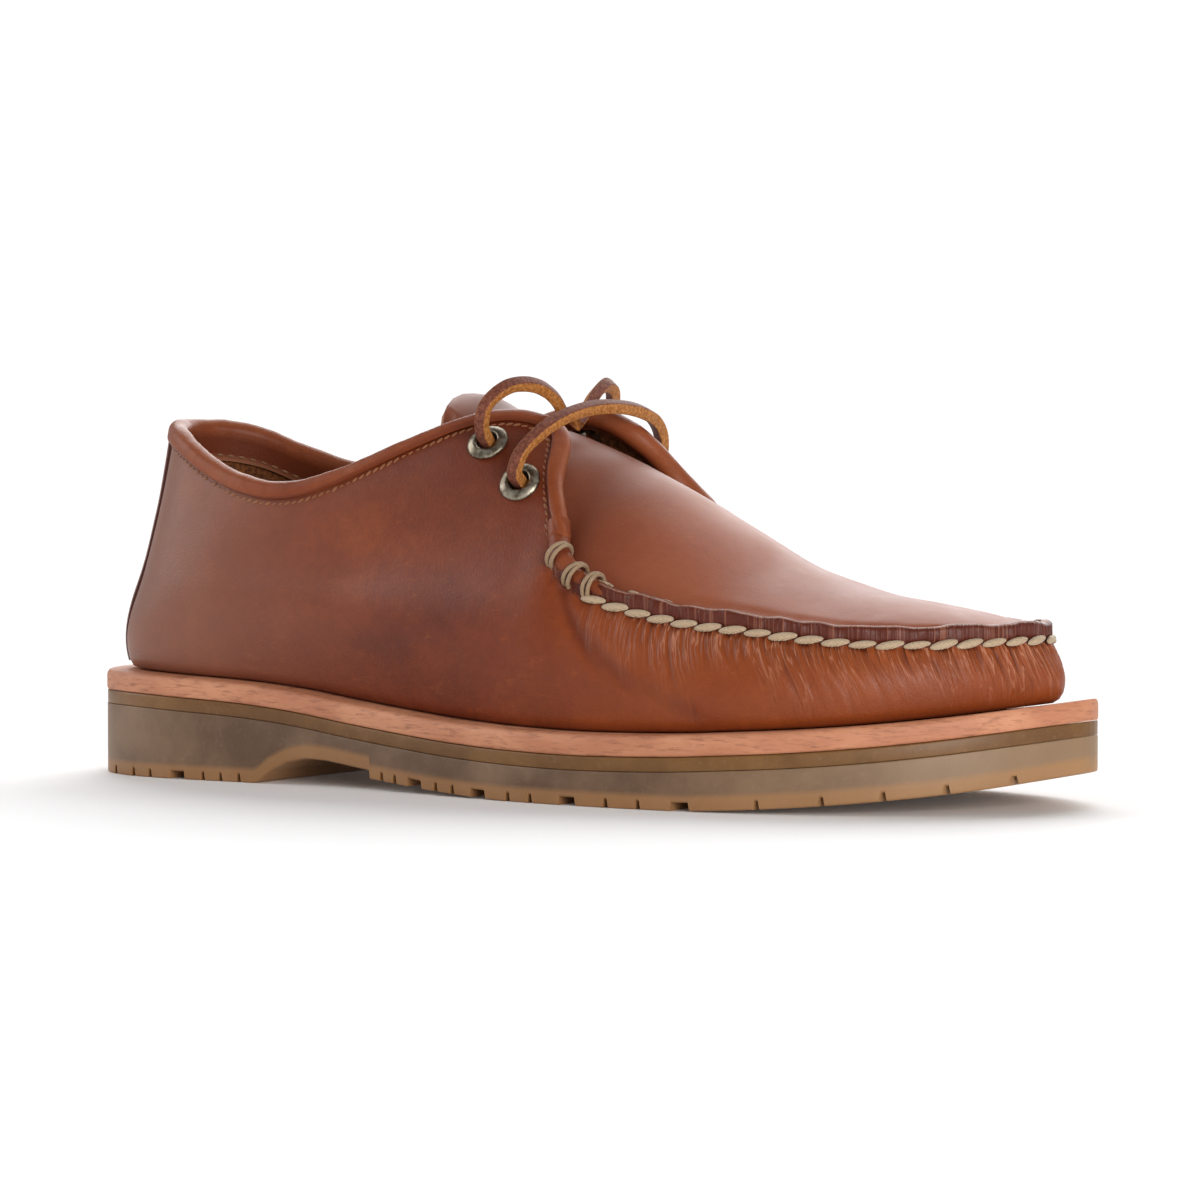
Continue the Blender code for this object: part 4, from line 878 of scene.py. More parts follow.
def oiled_leather(
    name, base, pale, dark, roughness=0.44, grain=0.22, coat=0.03, gloss=0.26, puckered=False, tints_and_painted_light=()
):
    """Pull-up leather. Masks say where it is stretched, where shade is painted into creases, and where it is
    cut; tints, a painted sheen and painted shade colour a region.
    """
    made = Finish(name, roughness, base, Coat_Weight=coat, Specular_IOR_Level=gloss)
    tree, place = made.tree, made.place
    dye = add_node(tree, "ShaderNodeGroup", {"node_tree": DYE}, Place=place).outputs
    made.lay(dark, dye["Dark"], 0.75)
    made.lay(pale, dye["Pale"], 0.42)
    made.lay(pale, dye["Specks"], 0.30)
    made.lay(dark, dye["Mottle"], 0.24)
    for colour, strength, limits in tints_and_painted_light:
        made.lay(colour, *[made.region(*limit) for limit in limits], strength)
    made.lay(pale, made.mask("stretch"))
    # Painted shade in hollows, along edges and inside the collar, from a mask that the mesh carries
    made.lay(dark, made.mask("painted_shade"))
    made.lay(RAW_EDGE, made.mask("cut"))
    uneven = times(tree, made.noise(90.0, 4.0, 0.6), ROUGHNESS_SPREAD)
    feed(tree, made.shader["Roughness"], plus(tree, uneven, roughness - ROUGHNESS_SPREAD / 2))
    height = add_node(tree, "ShaderNodeGroup", {"node_tree": GRAIN}, Place=place, Size=1500.0).outputs[0]
    if not puckered:
        return made.done(height, grain, 0.0006)
    fold, where = pucker_lines(made)
    # Painted shade in the hollows between the seam's wrinkles; their crests are paler pulled-up leather
    made.lay(dark, made.ramp(fold, 0.07, 0.2), where, 0.75)
    made.lay(PUCKER_CREST, maths(tree, "SUBTRACT", 1.0, made.ramp(fold, 0.0, 0.026)), where, 0.8)
    folds = times(tree, fold, where, PUCKER_DEPTH)
    return made.done(plus(tree, times(tree, height, grain), folds), 1.0, 0.0006)


# The third colour is the dye's dark waxy tone; it is also the painted shade beside the throat
TAN, PULLED, WAXY_DARK_AND_SHADE = (0.180, 0.032, 0.008, 1), (0.34, 0.080, 0.017, 1), (0.085, 0.014, 0.006, 1)
TINTS_AND_PAINTED_SHEEN = [
    # colour, strength, and where it comes in: over the heel a painted sheen on paler pulled-up leather,
    # darker on the flaps, an orange tint on the vamp
    ((0.24, 0.118, 0.081, 1), 0.6, [("X", -0.02, -0.14)]),
    (WAXY_DARK_AND_SHADE, 0.5, [("X", -0.07, -0.02), ("Z", 0.05, 0.085)]),
    ((0.27, 0.055, 0.008, 1), 0.3, [("X", 0.0, 0.05)]),
]
# Painted shade on the plug beside the fronts of the flaps, where they shade it
THROAT_PAINTED_SHADE = [(WAXY_DARK_AND_SHADE, 0.6, [("X", 0.048, 0.018)])]
LEATHER = oiled_leather("oiled_leather", TAN, PULLED, WAXY_DARK_AND_SHADE, tints_and_painted_light=TINTS_AND_PAINTED_SHEEN)
GATHERED = oiled_leather("gathered_leather", TAN, PULLED, WAXY_DARK_AND_SHADE, puckered=True, tints_and_painted_light=TINTS_AND_PAINTED_SHEEN)
BINDING = oiled_leather(
    "binding_leather", (0.23, 0.054, 0.018, 1), (0.32, 0.094, 0.035, 1), (0.13, 0.027, 0.010, 1),
    gloss=0.17,
)
PLUG_LEATHER = oiled_leather(
    "plug_leather", (0.28, 0.074, 0.032, 1), (0.37, 0.125, 0.062, 1), (0.19, 0.042, 0.017, 1),
    roughness=0.50, grain=0.12, gloss=0.19, tints_and_painted_light=THROAT_PAINTED_SHADE,
)
SOCK = oiled_leather(
    "sock_leather", (0.30, 0.13, 0.055, 1), (0.42, 0.22, 0.11, 1), (0.18, 0.07, 0.03, 1),
    roughness=0.6, grain=0.08, coat=0.0,
)
print("leathers:", len(bpy.data.materials))

# %% Other finishes
def flesh_leather():
    """The rough inner side: golden brown and fuzzy."""
    made = Finish("flesh_side", 0.9, (0.07, 0.017, 0.003, 1))
    fuzz = made.noise(900.0, 5.0, 0.7)
    made.lay((0.26, 0.082, 0.014, 1), made.ramp(fuzz, 0.35, 0.7))
    return made.done(fuzz, 0.5, 0.0006)


def cut_leather():
    """The midsole: undyed leather whose edge shows its fibres and has been rubbed smooth."""
    made = Finish("natural_leather", 0.62, (0.46, 0.175, 0.086, 1), Coat_Weight=0.05)
    fibre = made.noise(520.0, 6.0, 0.66, (0.35, 0.35, 2.4))
    made.lay((0.58, 0.252, 0.132, 1), made.ramp(made.noise(45.0, 4.0, 0.6, (1.0, 1.0, 2.0)), 0.35, 0.68))
    made.lay((0.25, 0.085, 0.04, 1), made.ramp(fibre, 0.48, 0.70), 0.75)
    return made.done(fibre, 0.35, 0.0005)


def gum_rubber(name, colour, pale, roughness, through, painted_toe_light=0.0):
    """Moulded gum rubber: light passes a little way into it, and the toe is painted paler as painted light.
    """
    glow = {"Subsurface_Weight": through, "Subsurface_Radius": (0.9, 0.45, 0.2), "Subsurface_Scale": 0.004}
    made = Finish(name, roughness, colour, Specular_IOR_Level=0.32, **glow)
    dust = made.noise(700.0, 4.0, 0.7)
    made.lay(pale, made.ramp(made.noise(34.0, 5.0, 0.6), 0.35, 0.7))
    made.lay((0.42, 0.33, 0.25, 1), made.ramp(dust, 0.55, 0.75), 0.12)
    # Painted light: the toe is painted paler where light from the front falls on it
    made.lay((0.35, 0.225, 0.125, 1), made.region("X", 0.05, 0.15), painted_toe_light)
    made.lay((0.42, 0.20, 0.07, 1), made.mask("stretch"))
    return made.done(dust, 0.16, 0.0004)


def old_brass():
    """Brass that has gone grey and blotchy."""
    made = Finish("old_brass", 0.42, (0.13, 0.105, 0.075, 1), Metallic=1.0)
    tarnish = made.noise(420.0, 4.0, 0.55)
    made.lay((0.34, 0.30, 0.23, 1), made.ramp(tarnish, 0.38, 0.62))
    feed(made.tree, made.shader["Roughness"], plus(made.tree, times(made.tree, tarnish, 0.35), 0.2))
    return made.done(tarnish, 0.3, 0.0003)


def rawhide():
    """The lace: dyed grain on two faces, golden cut sides on the other two."""
    made = Finish("rawhide_lace", 0.62, (0.10, 0.026, 0.015, 1), Specular_IOR_Level=0.22)
    fibre = made.noise(1100.0, 5.0, 0.7)
    bright = made.ramp(fibre, 0.35, 0.7)
    made.lay((0.24, 0.078, 0.042, 1), bright)
    bare = blend_colour(made.tree, bright, (0.27, 0.092, 0.018, 1), (0.56, 0.24, 0.065, 1))
    made.lay(bare, made.mask("cut"))
    return made.done(fibre, 0.5, 0.0006)


def waxed_thread(name, colour, dark):
    """Thread of twisted plies, which run slanted along each stitch."""
    made = Finish(name, 0.6, dark, Sheen_Weight=0.2)
    tree = made.tree
    strand = add_node(tree, "ShaderNodeAttribute", {"attribute_name": "strand"}).outputs["Vector"]
    slanted = add_node(tree, "ShaderNodeMapping", i0=strand, i2=(0.0, 0.0, 0.95)).outputs[0]
    wave = {"Scale": 2.6, "Distortion": 1.5, "Detail": 2.0}
    plies = add_node(tree, "ShaderNodeTexWave", Vector=slanted, **wave).outputs["Fac"]
    fuzz = times(tree, made.noise(1500.0, 3.0, 0.6), 0.55)
    strands = plus(tree, times(tree, plies, 0.45), fuzz)
    made.lay(colour, made.ramp(strands, 0.25, 0.65))
    return made.done(strands, 0.4, 0.0005)


FLESH, NATURAL, BRASS, RAWHIDE = flesh_leather(), cut_leather(), old_brass(), rawhide()
GUM = gum_rubber("gum_rubber", (0.110, 0.060, 0.033, 1), (0.21, 0.125, 0.072, 1), 0.5, 0.12, 0.58)
AMBER = gum_rubber("amber_rubber", (0.125, 0.054, 0.014, 1), (0.21, 0.10, 0.03, 1), 0.42, 0.1)
SEAM_THREAD = waxed_thread("seam_thread", (0.56, 0.42, 0.275, 1), (0.27, 0.17, 0.09, 1))
FINE_THREAD = waxed_thread("fine_thread", (0.34, 0.115, 0.03, 1), (0.15, 0.045, 0.012, 1))
LINING_THREAD = waxed_thread("lining_thread", (0.40, 0.19, 0.075, 1), (0.18, 0.07, 0.024, 1))
print("finishes:", len(bpy.data.materials))

# %% [markdown]
# The sole is a stack. Each layer is a loft: the same cross-section repeated along the foot, as wide
# as the outline there and at the height that the side profile gives. The sections stand close
# together, so that the tread's grooves come out as clean steps. A real edge is never sharp, so every
# section has small rounded corners.

# %% Sole layers
def edge_width(x, side):
    """How far a side of the sole lies from its axis at a station."""
    edge = LATERAL_EDGE if side == "lateral" else MEDIAL_EDGE
    return np.interp(x, edge[:, 0], edge[:, 1])


def fine_stations(step, extra=()):
    """Stations along the sole, closest together where its outline turns at the heel and the toe."""
    near_heel, _ = edge_at(np.linspace(0, 0.06, 26), "lateral")
    near_toe, _ = edge_at(1 - np.linspace(0, 0.08, 40), "lateral")
    middle = np.arange(near_heel[:, 0].max(), near_toe[:, 0].min(), step)
    rows = np.concatenate([near_heel[1:, 0], near_toe[1:, 0], middle, extra, [0.1, SOLE_LENGTH - 0.1]])
    rows = np.unique(np.round(rows, 2))
    return rows[(rows > 0.05) & (rows < SOLE_LENGTH - 0.05)]


# The narrowest section, and the largest share of a side that a rounded corner may take
THINNEST, CORNER_LIMIT = 3.0, 0.45
# A quarter of a circle, as (in from the side, down from the top)
CORNER = [(1 - math.cos(a), 1 - math.sin(a)) for a in np.linspace(0, math.pi / 2, 4)]


def sole_layer(name, stands_for, stations, top, bottom, finish, proud, rounds, glow=None, rings=None):
    """A loft whose sides have a rounded upper and lower corner, and extra rings at given heights."""
    sections, wear = [], []
    for x in stations:
        high, low = float(top(x)), float(bottom(x))
        sides = [edge_width(x, "lateral") - proud, edge_width(x, "medial") + proud]
        if sides[1] - sides[0] < THINNEST:
            middle = sum(sides) / 2
            sides = [middle - THINNEST / 2, middle + THINNEST / 2]
        half = (sides[1] - sides[0]) / 2
        up_r, low_r = (min(r, half * CORNER_LIMIT, (high - low) * CORNER_LIMIT) for r in rounds)
        right = [(sides[1] - a * low_r, low + b * low_r) for a, b in CORNER[::-1]]
        right += [(sides[1], z) for z in (rings(x) if rings else ())]
        right += [(sides[1] - a * up_r, high - b * up_r) for a, b in CORNER]
        ring = right + [(sides[0] + sides[1] - y, z) for y, z in right[::-1]]
        sections.append(np.array([(x, y, z) for y, z in ring]))
        wear += [glow(x, z) if glow else 0.0 for _, z in ring]
    add_piece(name, *loft(sections), finish, stands_for, masks={"stretch": wear}, bend=35)


def profile_height(offset):
    """The height at a station of a face that lies this far below the sole's top."""
    stations = np.arange(0, SOLE_LENGTH + 1, 1.0)
    heights = sole_top(stations) - offset
    return lambda x: np.interp(x, stations, heights)


midsole_top = profile_height(0.0)
rubber_top = profile_height(MIDSOLE + GAP * 0.3)
outsole_top = profile_height(MIDSOLE + RUBBER_LAYER + GAP * 1.2)
plain = fine_stations(2.0)
sole_layer(
    "midsole_leather", "midsole", plain, midsole_top, lambda x: midsole_top(x) - MIDSOLE,
    NATURAL, 0.0, (1.7, 0.8),
)
sole_layer(
    "amber_layer", "rubber_midsole", plain, rubber_top, lambda x: rubber_top(x) - RUBBER_LAYER - 0.2,
    AMBER, -0.35, (0.5, 0.3),
)

# %% Outsole with its tread
GROOVE_ROUND = 0.35
# Heights of two rings on the outsole's side, and the height up to which its edge glows amber
RING_HEIGHTS = (3.1, 4.6)
GLOW_HEIGHT, EDGE_GLOW = 3.3, 0.5


def tread_depth(x):
    """How deep the grooves cut at a station, with small rounded shoulders."""
    away = [abs(x - station * SOLE_LENGTH) - width / 2 for station, width in TREAD]
    return float(np.clip(0.5 - min(away) / GROOVE_ROUND, 0, 1)) * GROOVE_DEPTH


def tread_bottom(x):
    """Height of the tread above the floor, in the grooves too."""
    return float(sole_bottom(x)[0]) + tread_depth(x)


def edge_rings(x):
    """Rings on the outsole's side between which the amber edge fades out."""
    return [float(sole_bottom(x)[0]) + height for height in RING_HEIGHTS]


def edge_glow(x, z):
    """How much of the amber colour shows at a point of the outsole's side."""
    return float(z < float(sole_bottom(x)[0]) + GLOW_HEIGHT) * EDGE_GLOW


shoulders = [
    station * SOLE_LENGTH + side * (width / 2 + move)
    for station, width in TREAD
    for side in (-1, 1)
    for move in (-0.2, -0.07, 0.07, 0.2)
]
tread_rows = fine_stations(1.5, shoulders + [row[0] * SOLE_LENGTH for row in ARCH])
sole_layer(
    "outsole_rubber", "outsole", tread_rows, outsole_top, tread_bottom,
    GUM, -0.25, (0.4, 0.7), edge_glow, edge_rings,
)

# %% [markdown]
# The upper is one piece of leather about 2 mm thick. Its surface is a grid: lines run round the shoe,
# and rows climb from the bottom edge to the collar. In front of the throat the grid ends at the toe
# seam, where the edge stands up as a ridge. Sewing gathers a long edge onto a shorter one, so the
# wall below the seam is full of small upright puckers. They are moved into the surface here, deepest
# at the seam and gone a finger's width below it.

# %% The upper's grid
FEET_ROWS = 3
WALL_ROWS = 34
LOW_FLAP_ROWS, HIGH_FLAP_ROWS = 9, 24
RIDGE_ROWS = LOW_FLAP_ROWS
FLAP_BREAK = 0.18
wall_shares = np.linspace(0, 1, WALL_ROWS)
low_flap, high_flap = np.linspace(0, FLAP_BREAK, LOW_FLAP_ROWS), np.linspace(FLAP_BREAK, 1, HIGH_FLAP_ROWS)
flap_shares = np.concatenate([low_flap, high_flap[1:]])
WAIST_AT = FEET_ROWS + WALL_ROWS - 1
BREAK_AT = WAIST_AT + LOW_FLAP_ROWS - 1
# The wall between the foot and the waist, on the grid
WALL_PART = np.s_[:, FEET_ROWS:WAIST_AT]
RIDGE_SHARES = np.linspace(0, 1, RIDGE_ROWS)
RIDGE_TOP, RIDGE_ROUND = 0.7, 1.1
# How far the ridge's face draws in towards its top
RIDGE_IN = np.clip((RIDGE_SHARES - 0.7) / 0.3, 0, 1) ** 2 * RIDGE_ROUND


def dense_turns():
    """Places of the grid's lines round the shoe, from the medial toe to the lateral one."""
    quarter = np.linspace(0, 0.44, 90)
    flap = np.linspace(0.44, THROAT_SHARE, 34)[1:]
    seam = np.linspace(THROAT_SHARE, 1, 200)[1:]
    side = np.concatenate([quarter, flap, seam])
    return np.concatenate([-side[:0:-1], side])[1:]


TURNS = dense_turns()
SEAM = np.abs(TURNS) > THROAT_SHARE + 1e-6


WAIST_POINTS, _ = line_point(WAIST, TURNS)
# Distance along the seam for every line of the grid, and the same measured from the tip of the toe,
# so that a pattern on it has no jump there
ALONG = distances(WAIST_POINTS)
FROM_TIP = np.minimum(ALONG + ALONG[1], ALONG[-1] - ALONG)


def flap_curve(turn, shares):
    """Points on a quarter or a flap, from the waist line up to its top edge."""
    waist, lean = line_point(WAIST, turn)
    top, top_lean = line_point(COLLAR, turn)
    return curve_between(waist[0], leaning(turn, lean[0]), top[0], leaning(turn, top_lean[0]), shares)


def ridge_face(waist, outward):
    """The outer face of the seam's ridge, rounded over at its top; rows past it only pad the grid."""
    share = RIDGE_SHARES[1:]
    up = np.minimum(share / 0.8, 1) * (RIDGE_HEIGHT - RIDGE_TOP)
    up += np.clip((share - 0.8) / 0.2, 0, 1) * RIDGE_TOP
    face = waist + np.outer(up, UP) - np.outer(RIDGE_IN[1:], outward)
    return np.vstack([face, np.repeat(face[-1:], HIGH_FLAP_ROWS - 1, axis=0)])


def upper_lines():
    """The smooth outer surface, before any wrinkle is put in."""
    lines = []
    for turn, seam in zip(TURNS, SEAM):
        outward = outward_at(turn)
        waist, lean = line_point(WAIST, turn)
        feather = feather_at(turn)
        margin = [feather_at(turn, LASTING_MARGIN), feather_at(turn, FEATHER_RADIUS)]
        corner = feather + (UP - outward) * 0.3 * FEATHER_RADIUS
        foot = feather + UP * FEATHER_RADIUS + outward * 0.25
        start_way = math.cos(BULGE) * UP + math.sin(BULGE) * outward
        wall = curve_between(foot, start_way, waist[0], leaning(turn, lean[0]), wall_shares)
        flap = ridge_face(waist[0], outward) if seam else flap_curve(turn, flap_shares)[1:]
        lines.append(np.vstack([margin, corner, wall, flap]))
    return np.array(lines)


OUTER = upper_lines()
print("grid:", OUTER.shape)

# %% Puckers and creases
row_steps = np.linalg.norm(np.diff(OUTER, axis=1), axis=2)[:, :WAIST_AT]
# How far each point of the wall lies below the waist line
DROP = np.zeros(OUTER.shape[:2])
DROP[:, :WAIST_AT] = np.cumsum(row_steps[:, ::-1], axis=1)[:, ::-1]
share_of_turn = np.abs(TURNS)[:, None]
along = FROM_TIP[:, None]


def pucker_height():
    """Upright wrinkles below the seam: broad gathers at the stitches and finer ones between."""
    strength = np.clip((share_of_turn - 0.56) / 0.10, 0, 1) * (0.75 + 0.25 * soft_noise(along / 23, 3.1))
    lean = DROP * (0.16 + 0.3 * (soft_noise(along / 19, 7.7) - 0.5))
    fine = 1 - np.abs(2 * soft_noise((along + lean) / 2.1, DROP / 17) - 1)
    finer = soft_noise((along - lean * 0.6) / 1.15, DROP / 9 + 40)
    gather = np.sin((along + lean * 0.3) / SEAM_PITCH * 2 * math.pi)
    fade = np.exp(-DROP / (7.5 + 6 * soft_noise(along / 6, 11.3)))
    near = np.exp(-DROP / 4.0)
    return strength * (fade * (fine * 0.95 + finer * 0.3 - 0.75) + near * gather * 0.22)


def soft_creases():
    """The main creases of the wall: share along the shoe, drop, length, depth, lean."""
    height = np.zeros_like(DROP)
    for at, low, length, width, depth, lean in WALL_CREASES:
        own_side = np.where(np.sign(TURNS) == np.sign(at), 1, 99)
        line = (np.sign(at) * (np.abs(TURNS) - abs(at)) * SIDE_LENGTH * own_side)[:, None]
        across = (DROP - low) - line * lean
        height -= depth * np.exp(-((across / width) ** 2)) * np.exp(-((line / length) ** 2))
    return height


# Length of each side along the wall
SIDE_LENGTH = 340
# How deep the thread pulls in the rows of the grid beside the waist line
SEAM_PINCH = (0.15, 0.45, 0.8, 0.9, 0.6, 0.2)
WALL_CREASES = [
    # share, drop, length, width, depth, lean
    (0.57, 9.0, 9.0, 2.2, 0.7, 0.9), (0.6, 14.0, 12.0, 2.6, 0.5, 0.7),
    (0.66, 22.0, 16.0, 3.0, 0.35, 0.4), (-0.6, 12.0, 12.0, 2.4, 0.6, 0.8),
    (-0.68, 22.0, 16.0, 3.0, 0.35, 0.4),
]
wall_move = pucker_height() + soft_creases()
normals = grid_normals(OUTER, True)
front_lines = np.where(~SEAM)[0][[0, -1]]
for line, way in zip(front_lines, (1, -1)):
    front = np.cross(way * (OUTER[line + way] - OUTER[line]), np.gradient(OUTER[line], axis=0))
    front /= np.maximum(np.linalg.norm(front, axis=1)[:, None], 1e-9)
    normals[line, WAIST_AT + 1 :] = front[WAIST_AT + 1 :]
OUTWARDS = np.array([outward_at(turn) for turn in TURNS])
normals[SEAM, WAIST_AT:] = OUTWARDS[SEAM][:, None]
MOVE = np.zeros(OUTER.shape[:2])
MOVE[WALL_PART] = wall_move[WALL_PART]
seam_wave = np.cos(FROM_TIP[SEAM] / SEAM_PITCH * 2 * math.pi)
for row, depth in enumerate(SEAM_PINCH, WAIST_AT - 3):
    MOVE[SEAM, row] -= depth * (0.65 + 0.35 * seam_wave)
for row in range(WAIST_AT + 1, BREAK_AT + 1):
    climb = (row - WAIST_AT) / RIDGE_ROWS
    wave = soft_noise(FROM_TIP[SEAM] / 2.4, row / 9 + 60) - 0.5
    MOVE[SEAM, row] += wave * 0.9 + 0.35 * seam_wave * (1 - climb)
surface = OUTER + normals * MOVE[:, :, None]
ridge_crest = np.s_[SEAM, WAIST_AT + 4 : BREAK_AT + 1, 2]
surface[ridge_crest] += ((soft_noise(FROM_TIP[SEAM] / 5, 21.0) - 0.5) * 1.1)[:, None]
print("deepest pucker", round(float(MOVE.min()), 2), "mm")

# %% The upper as one piece
HOLE_IN_LEATHER = 3.9
# Step over which a direction on a flap is measured
NUDGE = 0.01


def flap_frame(side, share, up):
    """A point on the flap, its outward normal and the direction up the flap."""
    way = 1 if side == "lateral" else -1

    def at(share, up):
        return flap_curve(way * share, [up])[0]

    rise = at(share, up + NUDGE) - at(share, up - NUDGE)
    along = at(share + way * NUDGE, up) - at(share - way * NUDGE, up)
    return at(share, up), unit(np.cross(along, rise)), unit(rise)


def inner_grid():
    """The wall's inner side, which is thicker in the ridge and thins again at its top."""
    thick = np.full(OUTER.shape[:2], WALL)
    thick[SEAM, WAIST_AT:] = RIDGE_WIDTH
    thick[SEAM, WAIST_AT : BREAK_AT + 1] -= 2 * RIDGE_IN
    thick[SEAM, WAIST_AT] = RIDGE_WIDTH * 0.85
    inner = OUTER - normals * thick[:, :, None]
    inner[:, 0] = OUTER[:, 0] + UP * WALL
    inner[ridge_crest] = surface[ridge_crest]
    return inner


def used_points():
    """Which points of the two grids the upper's faces use."""
    found = np.zeros(OUTER.shape[:2], bool)
    for k in (0, 1):
        for j in (0, 1):
            found |= np.roll(np.pad(filled, ((0, 0), (j, 1 - j))), k, axis=0)
    index = np.where(found.ravel())[0]
    return np.concatenate([index, index + found.size])


def rough_side(piece, first, last):
    """Gives the flesh side's finish to the faces whose points all lie in a range."""
    piece.data.materials.append(FLESH)
    for face in piece.data.polygons:
        if min(face.vertices) >= first and max(face.vertices) < last:
            face.material_index = 1
    print("flesh side faces:", sum(face.material_index for face in piece.data.polygons))


filled = np.ones((len(TURNS), OUTER.shape[1] - 1), bool)
filled[SEAM | np.roll(SEAM, -1), BREAK_AT:] = False
middles = (OUTER[:, :-1] + np.roll(OUTER, -1, axis=0)[:, 1:]) / 2
for side, number, share, up in EYELET_PLACES:
    hole = flap_frame(side, share, up)[0]
    filled[np.linalg.norm(middles - hole, axis=2) < HOLE_IN_LEATHER] = False
# Painted shade in the hollows of the puckers and on the ridge's wrinkled face
painted_shade = np.clip(-MOVE * 1.1 - 0.05, 0, 1) * 0.75
painted_shade[SEAM, WAIST_AT:BREAK_AT] = 0.95
stretch, cut, pucker = (np.zeros_like(MOVE) for _ in range(3))
toward_toe = np.clip((share_of_turn - 0.5) / 0.12, 0, 1)
stretch[WALL_PART] = (np.exp(-DROP / 11) * toward_toe * 0.5)[WALL_PART]
stretch = np.clip(stretch + np.clip(MOVE, 0, 1) * 0.5, 0, 0.8)
cut[SEAM, BREAK_AT] = 0.2
reach = 6.0 + 8.0 * soft_noise(along / 4, 90.0)
gathered = np.clip((share_of_turn - 0.56) / 0.09, 0, 1)
pucker[WALL_PART] = (gathered * np.exp(-((DROP / reach) ** 2)))[WALL_PART]
pucker[SEAM, WAIST_AT : BREAK_AT + 1] = 0.35
seam_drop = np.where(np.arange(OUTER.shape[1]) < WAIST_AT, DROP, -6.0)
masks = {"painted_shade": painted_shade, "stretch": stretch, "cut": cut, "pucker": pucker}
masks |= {"seam_along": np.broadcast_to(along, MOVE.shape), "seam_drop": seam_drop}
# The masks are those of the outer side, and the inner side's are 0
used = used_points()
masks = {name: np.concatenate([mask.ravel(), np.zeros(mask.size)])[used] for name, mask in masks.items()}
wall_mesh = shell_mesh(surface, inner_grid(), filled)
upper = add_piece("upper_leather", *wall_mesh, GATHERED, "upper", masks=masks, bend=60)
rough_side(upper, len(upper.data.vertices) // 2, len(upper.data.vertices))

# %% [markdown]
# The plug is the apron of the toe, and it runs back under the flaps as the tongue, all one piece of
# leather. Rows of points cross it from edge to edge. Near the toe a row follows the seam round the
# front, further back it arches over the foot, and under the flaps it stays clear of their inner face.
# A few rows worked out from the pattern are enough, because a smooth curve fills in the others.

# %% The plug's and the tongue's rows
PLUG_COLUMNS = 81
PLUG_SPREAD = np.linspace(-1, 1, PLUG_COLUMNS)
TONGUE_LIFT = 0.7
# The face that the tongue has to stay under, and how that limit goes on past the flap's edge
HIDDEN = OUTER - normals * (WALL + TONGUE_CLEARANCE - TONGUE_LIFT)
PAST_EDGE_IN, PAST_EDGE_UP = 5.0, 9.0
# Where the apron's rows start to follow the round toe, and how full their arch is
ROUND_FROM, APRON_POWER = 0.80, 2.1


def flap_section(x, side):
    """Across and height of a flap's hidden face where it crosses a station, from its edge down."""
    lines = [k for k in range(len(TURNS)) if not SEAM[k] and (TURNS[k] > 0) == (side < 0)]
    lines = sorted((k for k in lines if abs(TURNS[k]) > 0.3), key=lambda k: abs(TURNS[k]))
    places = []
    for row in range(OUTER.shape[1] - 1, WAIST_AT - 1, -1):
        track = HIDDEN[lines, row]
        if track[0, 0] <= x <= track[-1, 0]:
            places.append([np.interp(x, track[:, 0], track[:, k]) for k in (1, 2)])
    return np.array(places)


def tongue_row(x, half_width):
    """One row of the tongue: a low arch that stays under the flaps."""
    across = PLUG_SPREAD * half_width + TONGUE_MIDDLE
    height = crown_height(x)[0] - (across - TONGUE_MIDDLE) ** 2 / (2 * TONGUE_RADIUS)
    for side in (-1, 1):
        section = flap_section(x, side)
        if len(section) < 2:
            continue
        reach = side * section[:, 0]
        rise = np.concatenate([[section[0, 1] + PAST_EDGE_UP], section[:, 1]])
        reach = np.concatenate([[reach[0] - PAST_EDGE_IN], reach])
        height = np.minimum(height, np.interp(side * across, reach, rise, left=1e3))
    return np.column_stack([np.full(PLUG_COLUMNS, x), across, height])


def apron_row(share):
    """One row of the apron, between the two ridges of the seam."""
    inset = RIDGE_WIDTH - GAP
    medial, lateral = (plug_boundary(turn, PLUG_DROP, inset) for turn in (-share, share))
    round_toe = np.clip((share - ROUND_FROM) / (PLUG_FRONT - ROUND_FROM), 0, 1) ** 2
    row = []
    for t in PLUG_SPREAD:
        chord = lateral * (1 - t) / 2 + medial * (1 + t) / 2
        reach = share + (1 - share) * (1 - abs(t))
        arc = plug_boundary(reach if t <= 0 else -reach, PLUG_DROP, inset)
        point = chord * (1 - round_toe) + arc * round_toe
        rise = crown_height(point[0])[0] - (lateral[2] + medial[2]) / 2
        point[2] += max(rise, 0.0) * (1 - abs(t) ** APRON_POWER) * (1 - round_toe)
        row.append(point)
    return np.array(row)


def plug_grid():
    """The rows of the apron and of the tongue, with many more on a smooth curve through them."""
    shares = [*np.linspace(PLUG_FRONT, 0.84, 12), *np.linspace(0.82, PLUG_BACK, 16)]
    rows = [apron_row(share) for share in shares]
    rows += [tongue_row(at * SOLE_LENGTH, half * SOLE_WIDTH) for at, half in TONGUE_WIDTH[::-1]]
    rows = np.array(rows)
    knots = distances(rows[:, PLUG_COLUMNS // 2])
    at = np.linspace(0, knots[-1], 210)
    return flow(knots, rows.reshape(len(rows), -1), at).reshape(len(at), PLUG_COLUMNS, 3)


PLUG = plug_grid()
print("plug grid:", PLUG.shape)

# %% The plug and the tongue as one piece
# Where the tongue turns into the apron, over how long a stretch, and the middle of the round toe
APRON_FROM, APRON_FADE = 168, 12
TOE_MIDDLE = (215, -2)


def from_first(grid, axis):
    """Distances along a grid's rows or columns, measured from the first point of each."""
    steps = np.linalg.norm(np.diff(grid, axis=axis), axis=2)
    return np.insert(np.cumsum(steps, axis=axis), 0, 0, axis=axis)


